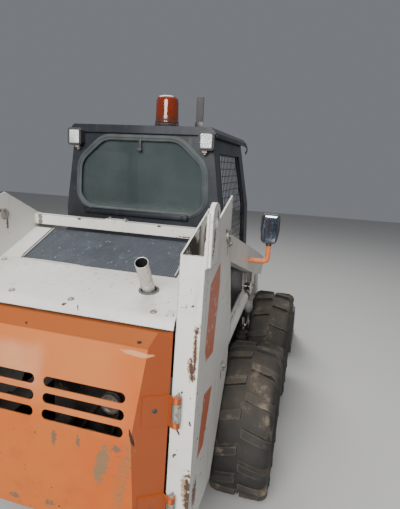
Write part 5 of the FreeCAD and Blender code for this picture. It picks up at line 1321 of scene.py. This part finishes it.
upright_form, arm_form, carrier_form = bmesh.new(), bmesh.new(), bmesh.new()
for name, side in sides:
    out = (0, side, 0)
    pin_end(upright_form, row(0.373, side * 0.604, 1.528), out, 0.0235, (0.55, 0, -0.83))
    pin_end(upright_form, row(0.450, side * 0.604, 0.900), out, 0.0185, (-0.8, 0, 0.6))
    pin_end(arm_form, row(1.400, side * 0.584, 1.005), out, 0.0200, (-0.5, 0, 0.86))
    pin_end(arm_form, row(2.000, side * 0.388, 0.980), (0, -side, 0), 0.0130)
    pin_end(carrier_form, row(2.440, side * 0.553, 0.175), out, 0.0235, (-0.3, 0, 0.95))
hand_over(upright_form, "upright_pin_ends", "dull_zinc")
hand_over(arm_form, "arm_pin_ends", "dull_zinc", "lift_arms")
hand_over(carrier_form, "attach_pin_ends", "dull_zinc", "bucket_carrier")

# %% [markdown]
# ## Hydraulic rams
# A ram's barrel ends in a screwed gland with a rubber wiper, which scrapes the rod clean. Two
# ports stand on the barrel, and a steel pipe brings the oil from the foot end to the gland end.
# These parts ride with the barrel, so no loose hose has to follow the arms' travel.

# %% Glands, wipers, ports and pipes
rams = (  # kind, y, foot pin, rod pin, barrel radius, length to the gland, rod radius, way of the ports
    ("lift", 0.5525, (0.450, 0.900), (1.400, 1.005), 0.032, 0.828, 0.0190, (-0.110, 0.994)),
    ("tilt", 0.4050, (2.000, 0.980), (2.350, 0.330), 0.030, 0.586, 0.0155, (0.880, 0.474)))
for kind, y, start, end, radius, mouth, rod, port in rams:
    collar = [(-0.034, radius - 0.001), (-0.034, radius + 0.0020), (-0.004, radius + 0.0020),
              (0.001, radius - 0.002), (0.0065, rod + 0.008), (0.0065, rod + 0.0022), (-0.004, rod + 0.0022)]
    wiper = [(0.001, rod + 0.0060), (0.0095, rod + 0.0048), (0.0110, rod + 0.0020), (0.0020, rod + 0.0012)]
    for name, side in sides:
        body = kind + "_cylinder_" + name
        foot, eye = row(start[0], side * y, start[1]), row(end[0], side * y, end[1])
        along, outward = (eye - foot).normalized(), Vector((port[0], 0.0, port[1]))
        gland, ports = bmesh.new(), bmesh.new()
        for profile in (collar, wiper):
            turned(gland, profile, foot + along * mouth, along, 40, closed=True)
        hand_over(gland, kind + "_gland_" + name, "black_plastic", body)
        pipe_ends, pipe_tops = [], []
        for distance in (0.085, mouth - 0.060):
            seat = foot + along * distance + outward * (radius - 0.001)
            turned(ports, [(0.0, 0.0140), (0.007, 0.0130), (0.008, 0.0110)], seat, outward, 20)
            turned(ports, [(0.007, 0.0115), (0.017, 0.0115), (0.018, 0.0095)], seat, outward, 6)
            pipe_ends.append(seat + outward * 0.016)
            pipe_tops.append(seat + outward * 0.028)
        pipe_line = [pipe_ends[0], *pipe_tops, pipe_ends[1]]
        drawn(ports, rounded_path(pipe_line, 0.012, 4, closed=False), 0.0050, 10)
        for share in (0.33, 0.67):
            clip = Matrix.Translation(pipe_tops[0].lerp(pipe_tops[1], share) - outward * 0.014)
            cut_plate(ports, (-0.010, -0.008, -0.016), (0.010, 0.008, 0.020), 0.0015, 2,
                      clip @ turn_to(along, outward.cross(along), outward))
        finish = "sweep_white" if kind == "lift" else "frame_black"
        hand_over(ports, kind + "_pipe_" + name, finish, body)

# %% [markdown]
# ## Welds
# Plates and tubes on a loader are joined by hand-laid welds. Seen close, such a bead is a row of
# small overlapping scales. A thin round section is drawn along each joint, and every other ring
# swells a little. It needs few faces, and unlike a bump map it also changes the corner's outline.

# %% Weld beads
def weld(form, points, radius=0.0042, closed=False, pitch=0.0075):
    """A bead along straight runs between points, with one scale to each pitch."""
    ends = points[1:] + points[:1] if closed else points[1:]
    path = []
    for start, end in zip(points, ends):
        count = max(1, round((end - start).length / pitch))
        path += [start.lerp(end, step / count) for step in range(count)]
    if not closed:
        path.append(points[-1])
    drawn(form, path, radius, 6, closed=closed, waves=(1.0, 1.18, 0.92))


lug_y, weld_y, beam_end = 0.5995, 0.4420, 0.5055
upright_form, arm_form, axle_form, beam_form = bmesh.new(), bmesh.new(), bmesh.new(), bmesh.new()
for name, side in sides:
    weld(arm_form, round_about(row(2.072, side * 0.4595, 0.633), 0.0385, 40), closed=True)
    lug = ((0.0400, 1.655), (0.0400, 1.4705), (0.1360, 1.4705), (0.1360, 1.610))
    weld(upright_form, [row(x, side * lug_y, z) for x, z in lug])
    for x in axle_x.values():
        weld(axle_form, round_about(row(x, side * weld_y, axle_z), 0.0725, 56), 0.0050, closed=True)
    beam = ((0.601, 1.456), (0.601, 1.506), (0.639, 1.506), (0.639, 1.456))
    weld(beam_form, [row(x, side * beam_end, z) for x, z in beam], 0.0036, closed=True)
hand_over(upright_form, "lug_welds", "sweep_white", smooth=60.0)
hand_over(arm_form, "cross_tube_welds", "sweep_white", "lift_arms", smooth=60.0)
hand_over(axle_form, "axle_welds", "frame_black", smooth=60.0)
hand_over(beam_form, "beam_welds", "trim_white", smooth=60.0)

# %% [markdown]
# Each axle leaves its chain case through a flange with eight bolts, and a lid between the two
# wheels lets a mechanic reach the chain. They lie on the case's side, so they are turned and cut
# against that plane.

# %% Bolted flanges behind the wheels
case_side, flange_face, lid_thick = 0.4402, 0.4500, 0.0045
flange = [(0.0, 0.108), (0.008, 0.108), (0.010, 0.106), (0.010, 0.074), (0.0, 0.074)]
form = bmesh.new()
for name, side in sides:
    out = (0, side, 0)
    for x in axle_x.values():
        turned(form, flange, row(x, side * case_side, axle_z), out, 48, closed=True)
        for spot in round_about(row(x, side * flange_face, axle_z), 0.092, 8):
            hexagon(form, spot, out, 0.0085, 0.008, 0.0125)
    lid = row(1.363, side * case_side, 0.430)
    near, far = sorted((0.0, side * lid_thick))
    cut_plate(form, lid + Vector((-0.105, near, -0.070)), lid + Vector((0.105, far, 0.070)), 0.0018)
    for x in (-0.088, 0.0, 0.088):
        for z in (-0.054, 0.054):
            hexagon(form, lid + Vector((x, side * lid_thick, z)), out, 0.0065, 0.006, 0.010)
hand_over(form, "axle_flanges", "frame_black")

# %% [markdown]
# ## Engine fittings
# With the tail door open the engine's rear end shows. The photograph gives only glimpses of it, so
# these are the usual fittings of a small diesel: a belt over two pulleys, a round oil filter, a
# ribbed valve cover, and a ladder of bolts round the sump.

# %% Pulleys, belt and filter
engine_rear = 0.310
engine_face = engine_rear - 0.0005
crank, fan = (0.0, 0.430, 0.095), (-0.115, 0.700, 0.050)
groove = ((0.0, 0.55), (0.012, 0.60), (0.014, 1), (0.020, 1), (0.027, 0.88), (0.034, 1), (0.040, 1),
          (0.041, 0.80), (0.034, 0.70), (0.034, 0.30), (0.046, 0.28), (0.048, 0.10))
form = bmesh.new()
for y, z, radius in (crank, fan):
    grooved = [(distance, radius * share) for distance, share in groove]
    turned(form, grooved, row(engine_face, y, z), rearward, 40)
hand_over(form, "engine_pulleys", "dull_zinc")
slant = math.atan2(fan[0] - crank[0], fan[1] - crank[1])
belt = []
for (y, z, radius), start in ((fan, -90), (crank, 90)):
    for step in range(13):
        angle = math.radians(start + step * 15) + slant
        belt.append(row(engine_rear - 0.0275, y + math.sin(angle) * radius * 0.95,
                        z + math.cos(angle) * radius * 0.95))
form = bmesh.new()
drawn(form, belt, 0.0060, 8, 0.75, side=(1, 0, 0), closed=True)
filter_y, filter_z = 0.120, 0.560
turned(form, [(0.0, 0.034), (0.006, 0.041), (0.086, 0.041), (0.094, 0.036), (0.096, 0.010)],
       row(engine_face, filter_y, filter_z), rearward, 36)
for step in range(12):
    angle = math.tau * step / 12
    around = Vector((0, math.cos(angle), math.sin(angle))) * 0.0405
    place = Matrix.Translation(row(engine_rear, filter_y, filter_z) + around)
    cut_plate(form, (-0.094, -0.003, -0.0015), (-0.066, 0.003, 0.0015), 0.0008, 1,
              place @ Matrix.Rotation(angle + math.pi / 2, 4, "X"))
hand_over(form, "belt_and_filter", "black_rubber")

# %% Ribs and bolts of the engine block
foot_x = engine_rear - 0.0002
form = bmesh.new()
for z in (0.285, 0.345, 0.800, 0.860):
    for y in (-0.170, -0.085, 0.0, 0.085, 0.170):
        hexagon(form, row(engine_face, y, z), rearward, 0.0085, 0.008, 0.0125)
for z in (0.315, 0.830):
    cut_plate(form, row(engine_rear - 0.0065, -0.198, z - 0.008), row(foot_x, 0.198, z + 0.008), 0.003)
for y in (-0.150, -0.090, -0.030, 0.030, 0.090, 0.150):
    cut_plate(form, row(engine_rear - 0.0120, y - 0.006, 0.890), row(foot_x, y + 0.006, 1.010), 0.0035)
hand_over(form, "engine_ribs_and_bolts", "oily_iron")

# %% [markdown]
# ## Bucket and its latches
# The cutting edge is a hard bar held by plough bolts, whose domed heads wear bright. Beads run
# along its rear and up the inner corners. The latch levers that hold the bucket on the attachment
# plate have rubber grips, and each turns on a bolt.

# %% Edge bolts, bucket welds and latch grips
plough_bolt = [(-0.001, 0.0165), (0.0012, 0.0160), (0.0038, 0.0120), (0.0050, 0.0060), (0.0052, 0.0015)]
form = bmesh.new()
for index in range(9):
    turned(form, plough_bolt, row(3.168, -0.780 + index * 0.195, 0.0180), upward, 24)
hand_over(form, "edge_bolts", "rubbed_bucket", "bucket_carrier")
bucket_half = 0.852
form = bmesh.new()
weld(form, rows((3.1265, -bucket_half, 0.0110), (3.1265, bucket_half, 0.0110)), 0.0055, pitch=0.010)
for side in (1, -1):
    y = side * bucket_half
    weld(form, rows((2.5325, y, 0.118), (2.5325, y, 0.468)), 0.0045, pitch=0.009)
    weld(form, rows((2.650, y, 0.0115), (3.120, y, 0.0115)), 0.0045, pitch=0.009)
hand_over(form, "bucket_welds", "rubbed_bucket", "bucket_carrier", smooth=60.0)
ribbed = [(0.505, 0.0092)]
for step in range(7):
    ribbed += [(0.508 + step * 0.010, 0.0128), (0.513 + step * 0.010, 0.0112)]
ribbed += [(0.577, 0.0122), (0.5805, 0.0090), (0.582, 0.003)]
form, bolts_form = bmesh.new(), bmesh.new()
for side in (1, -1):
    y = side * 0.250
    turned(form, ribbed, row(2.489, y, 0.0), upward, 20)
    for shift in (-0.018, 0.018):
        hexagon(bolts_form, row(2.471, y + shift, 0.445), rearward, 0.0075, 0.007, 0.0115)
    turned(bolts_form, [(0.0, 0.013), (0.005, 0.013), (0.008, 0.010), (0.0085, 0.004)],
           row(2.471, y, 0.400), rearward, 24)
hand_over(form, "latch_grips", "black_plastic", "bucket_carrier")
hand_over(bolts_form, "latch_bolts", "dull_zinc", "bucket_carrier")

# %% [markdown]
# ## Side screens
# A cab of this kind has welded wire screens in its side openings, so that the operator can't
# reach into the arms. In the photograph that opening is dark, which fits a screen, but the wires
# can't be counted. Each wire is drawn on its own and follows the cab's side, which leans in above.

# %% Wire screens in the cab's side openings
wire = 0.0016
sill_z, bend_z, top_z = 1.180, 1.540, 1.872
front_foot, front_lean, opening_high = 1.700, 0.190, 0.690


def screen_y(z):
    """Distance of the screen from the machine's middle plane at a height."""
    return 0.4405 - max(z - bend_z, 0.0) * 0.1425


def front_edge(z):
    """Where the opening's leaning front edge is at a height."""
    return front_foot - (z - sill_z) * front_lean / opening_high


def edge_height(x):
    """How high the opening is at a place along it."""
    return top_z if x < 1.510 else min(top_z, sill_z + (front_foot - x) * opening_high / front_lean)


wire_form, border_form = bmesh.new(), bmesh.new()
for name, side in sides:
    for step in range(1, 17):
        z = sill_z + opening_high * step / 17
        y = side * screen_y(z)
        drawn(wire_form, rows((0.928, y, z), (front_edge(z) + 0.002, y, z)), wire, 6)
    for step in range(1, 19):
        x = 0.930 + 0.770 * step / 19
        top = edge_height(x)
        line = [row(x, side * (screen_y(z) - 2 * wire), z) for z in (1.178, bend_z, top) if z <= top]
        drawn(wire_form, line, wire, 6)
    border = ((0.934, 1.184), (1.694, 1.184), (front_edge(bend_z) - 0.004, bend_z), (1.507, 1.866),
              (0.934, 1.866), (0.934, bend_z))
    corners = [row(x, side * (screen_y(z) - wire), z) for x, z in border]
    drawn(border_form, rounded_path(corners, 0.012, 3), 0.0062, 8, 0.6, side=(0, 1, 0), closed=True)
hand_over(wire_form, "screen_wires", "cab_blue_black", smooth=50.0)
hand_over(border_form, "screen_borders", "cab_blue_black")

# %% [markdown]
# ## Levers, lap bar and window pull
# The two steering levers have ribbed rubber grips, and a rubber bellows keeps dirt out of the
# slot at each foot. The lap bar has a foam sleeve on the part that rests on the operator. A short
# pull hangs at the top of the rear window, for pushing the pane out in an emergency.

# %% Grips, bellows, sleeve and pull
ribbed = [(1.122, 0.0120), (1.123, 0.0185)]
for step in range(10):
    ribbed += [(1.128 + step * 0.0095, 0.0204), (1.1325 + step * 0.0095, 0.0189)]
ribbed += [(1.226, 0.0200), (1.233, 0.0165), (1.2365, 0.0090), (1.2372, 0.0025)]
folds = [(0.6405, 0.040), (0.646, 0.041)]
for step in range(5):
    folds += [(0.655 + step * 0.013, 0.034 - step * 0.0040), (0.661 + step * 0.013, 0.0375 - step * 0.0042)]
folds += [(0.722, 0.0150), (0.726, 0.0120)]
grip_form, bellows_form = bmesh.new(), bmesh.new()
for side in (1, -1):
    place = row(1.560, side * 0.380, 0.0)
    turned(grip_form, ribbed, place, upward, 28)
    turned(bellows_form, folds, place, upward, 32)
hand_over(grip_form, "lever_grips", "black_plastic", smooth=60.0)
hand_over(bellows_form, "lever_bellows", "seal_rubber", smooth=60.0)
sleeve_long, sleeve_end = 0.420, [(0.0, 0.0163), (0.002, 0.0205), (0.006, 0.0228), (0.016, 0.0236)]
sleeve = sleeve_end + [(0.210, 0.0240)]
sleeve += [(sleeve_long - distance, radius) for distance, radius in reversed(sleeve_end)]
form = bmesh.new()
turned(form, sleeve, row(1.420, -0.210, 1.240), (0, 1, 0), 32)
hand_over(form, "lap_bar_sleeve", "black_vinyl")
form = bmesh.new()
cut_plate(form, row(0.809, -0.007, 1.872), row(0.8125, 0.007, 1.934), 0.0012)
drawn(form, rows((0.8105, -0.010, 1.868), (0.8105, 0.010, 1.868)), 0.0058, 12)
hand_over(form, "window_pull", "black_plastic")

# %% [markdown]
# ## Seat
# The seat has two foam pads in black vinyl. Foam pushes its cover out, so a pad is crowned, its
# sides pull in between the corners, and its seams lie in small valleys. The pads are blown up by
# Blender's cloth simulation from slightly smaller blocks. Modelling the crown by hand would miss
# the small wrinkles at the corners.

# %% Two pads blown up as cloth
def rounded_block(low, high, lean=0.0):
    """A block with rounded edges; lean is how far its top goes back."""
    form = bmesh.new()
    cut_plate(form, low, high, 0.022, 5)
    for vert in form.verts:
        vert.co.x -= lean * (vert.co.z - low.z) / (high.z - low.z)
    mesh = bpy.data.meshes.new("pad_block")
    form.to_mesh(mesh)
    form.free()
    return mesh


def with_modifiers(made):
    """The object's mesh with its modifiers applied."""
    depsgraph = bpy.context.evaluated_depsgraph_get()
    return bpy.data.meshes.new_from_object(made.evaluated_get(depsgraph))


def swell(made):
    """The object's mesh after the cloth simulation has pushed it out."""
    last_frame = 20
    cloth = made.modifiers.new("cloth", "CLOTH")
    cloth.settings.quality = 5
    cloth.settings.use_pressure = True
    cloth.settings.uniform_pressure_force = 4.0
    cloth.settings.effector_weights.gravity = 0.0
    cloth.point_cache.frame_start, cloth.point_cache.frame_end = 1, last_frame
    for frame_number in range(1, last_frame + 1):
        scene.frame_set(frame_number)
    return with_modifiers(made)


def blown_up(mesh, cap, flat_foot):
    """Remeshes a block and swells it. No point moves further than cap, or at all on its flat foot."""
    made = bpy.data.objects.new("pad_trial", mesh)
    scene.collection.objects.link(made)
    voxels = made.modifiers.new("voxels", "REMESH")
    voxels.mode = "VOXEL"
    voxels.voxel_size = 0.006
    rest = with_modifiers(made)
    made.modifiers.clear()
    made.data = rest
    swollen = swell(made)
    for start, end in zip(rest.vertices, swollen.vertices):
        move = end.co - start.co
        limit = cap * min(1.0, max(0.0, (start.co.z - flat_foot) / 0.03))
        start.co += move if move.length <= limit else move.normalized() * limit
    bpy.data.objects.remove(made)
    scene.frame_set(1)
    return rest


seat_low, seat_high = rows((0.932, -0.224, 0.9306), (1.373, 0.224, 1.0260))
back_low, back_high = rows((0.934, -0.224, 1.0420), (1.008, 0.224, 1.4600))
seat_mesh = blown_up(rounded_block(seat_low, seat_high), 0.012, seat_low.z + 0.004)
back_mesh = blown_up(rounded_block(back_low, back_high, 0.030), 0.011, back_low.z + 0.002)
print("pads", len(seat_mesh.vertices), "and", len(back_mesh.vertices), "points")

# %% [markdown]
# The covers are sewn down in four channels that run front to back over the seat and up the
# backrest. Each channel is a soft groove pressed in along the surface's own direction. A welt of
# thin piping closes the seat's upper seam.

# %% Sewn channels and piping
channel_y = (-0.150, -0.050, 0.050, 0.150)
groove_depth, groove_width = 0.0065, 0.0075


def on_seat_top(point):
    return point.z > seat_high.z - 0.012


def on_back_front(point):
    return point.x > back_low.x + 0.030 - (point.z - back_low.z) * 0.072


for name, mesh, on_face in (("seat_pad", seat_mesh, on_seat_top), ("back_pad", back_mesh, on_back_front)):
    normals = [vert.normal.copy() for vert in mesh.vertices]
    for vert, normal in zip(mesh.vertices, normals):
        if on_face(vert.co):
            nearest = min(abs(vert.co.y - y) for y in channel_y)
            vert.co -= normal * groove_depth * math.exp(-(nearest / groove_width) ** 2)
    form = bmesh.new()
    form.from_mesh(mesh)
    made = hand_over(form, name, "black_vinyl", replaces=["seat_cushions"], smooth=80.0)
    smoothing = made.modifiers.new("smoothing", "SUBSURF")
    smoothing.levels = smoothing.render_levels = 1
edge_out, edge_z = 0.0035, 1.0195
rear_x, front_x = seat_low.x - edge_out, seat_high.x + edge_out
right_y, left_y = seat_low.y - edge_out, seat_high.y + edge_out
seam_loop = ((rear_x, right_y, edge_z), (front_x, right_y, edge_z), (front_x, left_y, edge_z),
             (rear_x, left_y, edge_z))
form = bmesh.new()
drawn(form, rounded_path(seam_loop, 0.030, 6), 0.0036, 8, closed=True)
hand_over(form, "seat_piping", "black_vinyl")
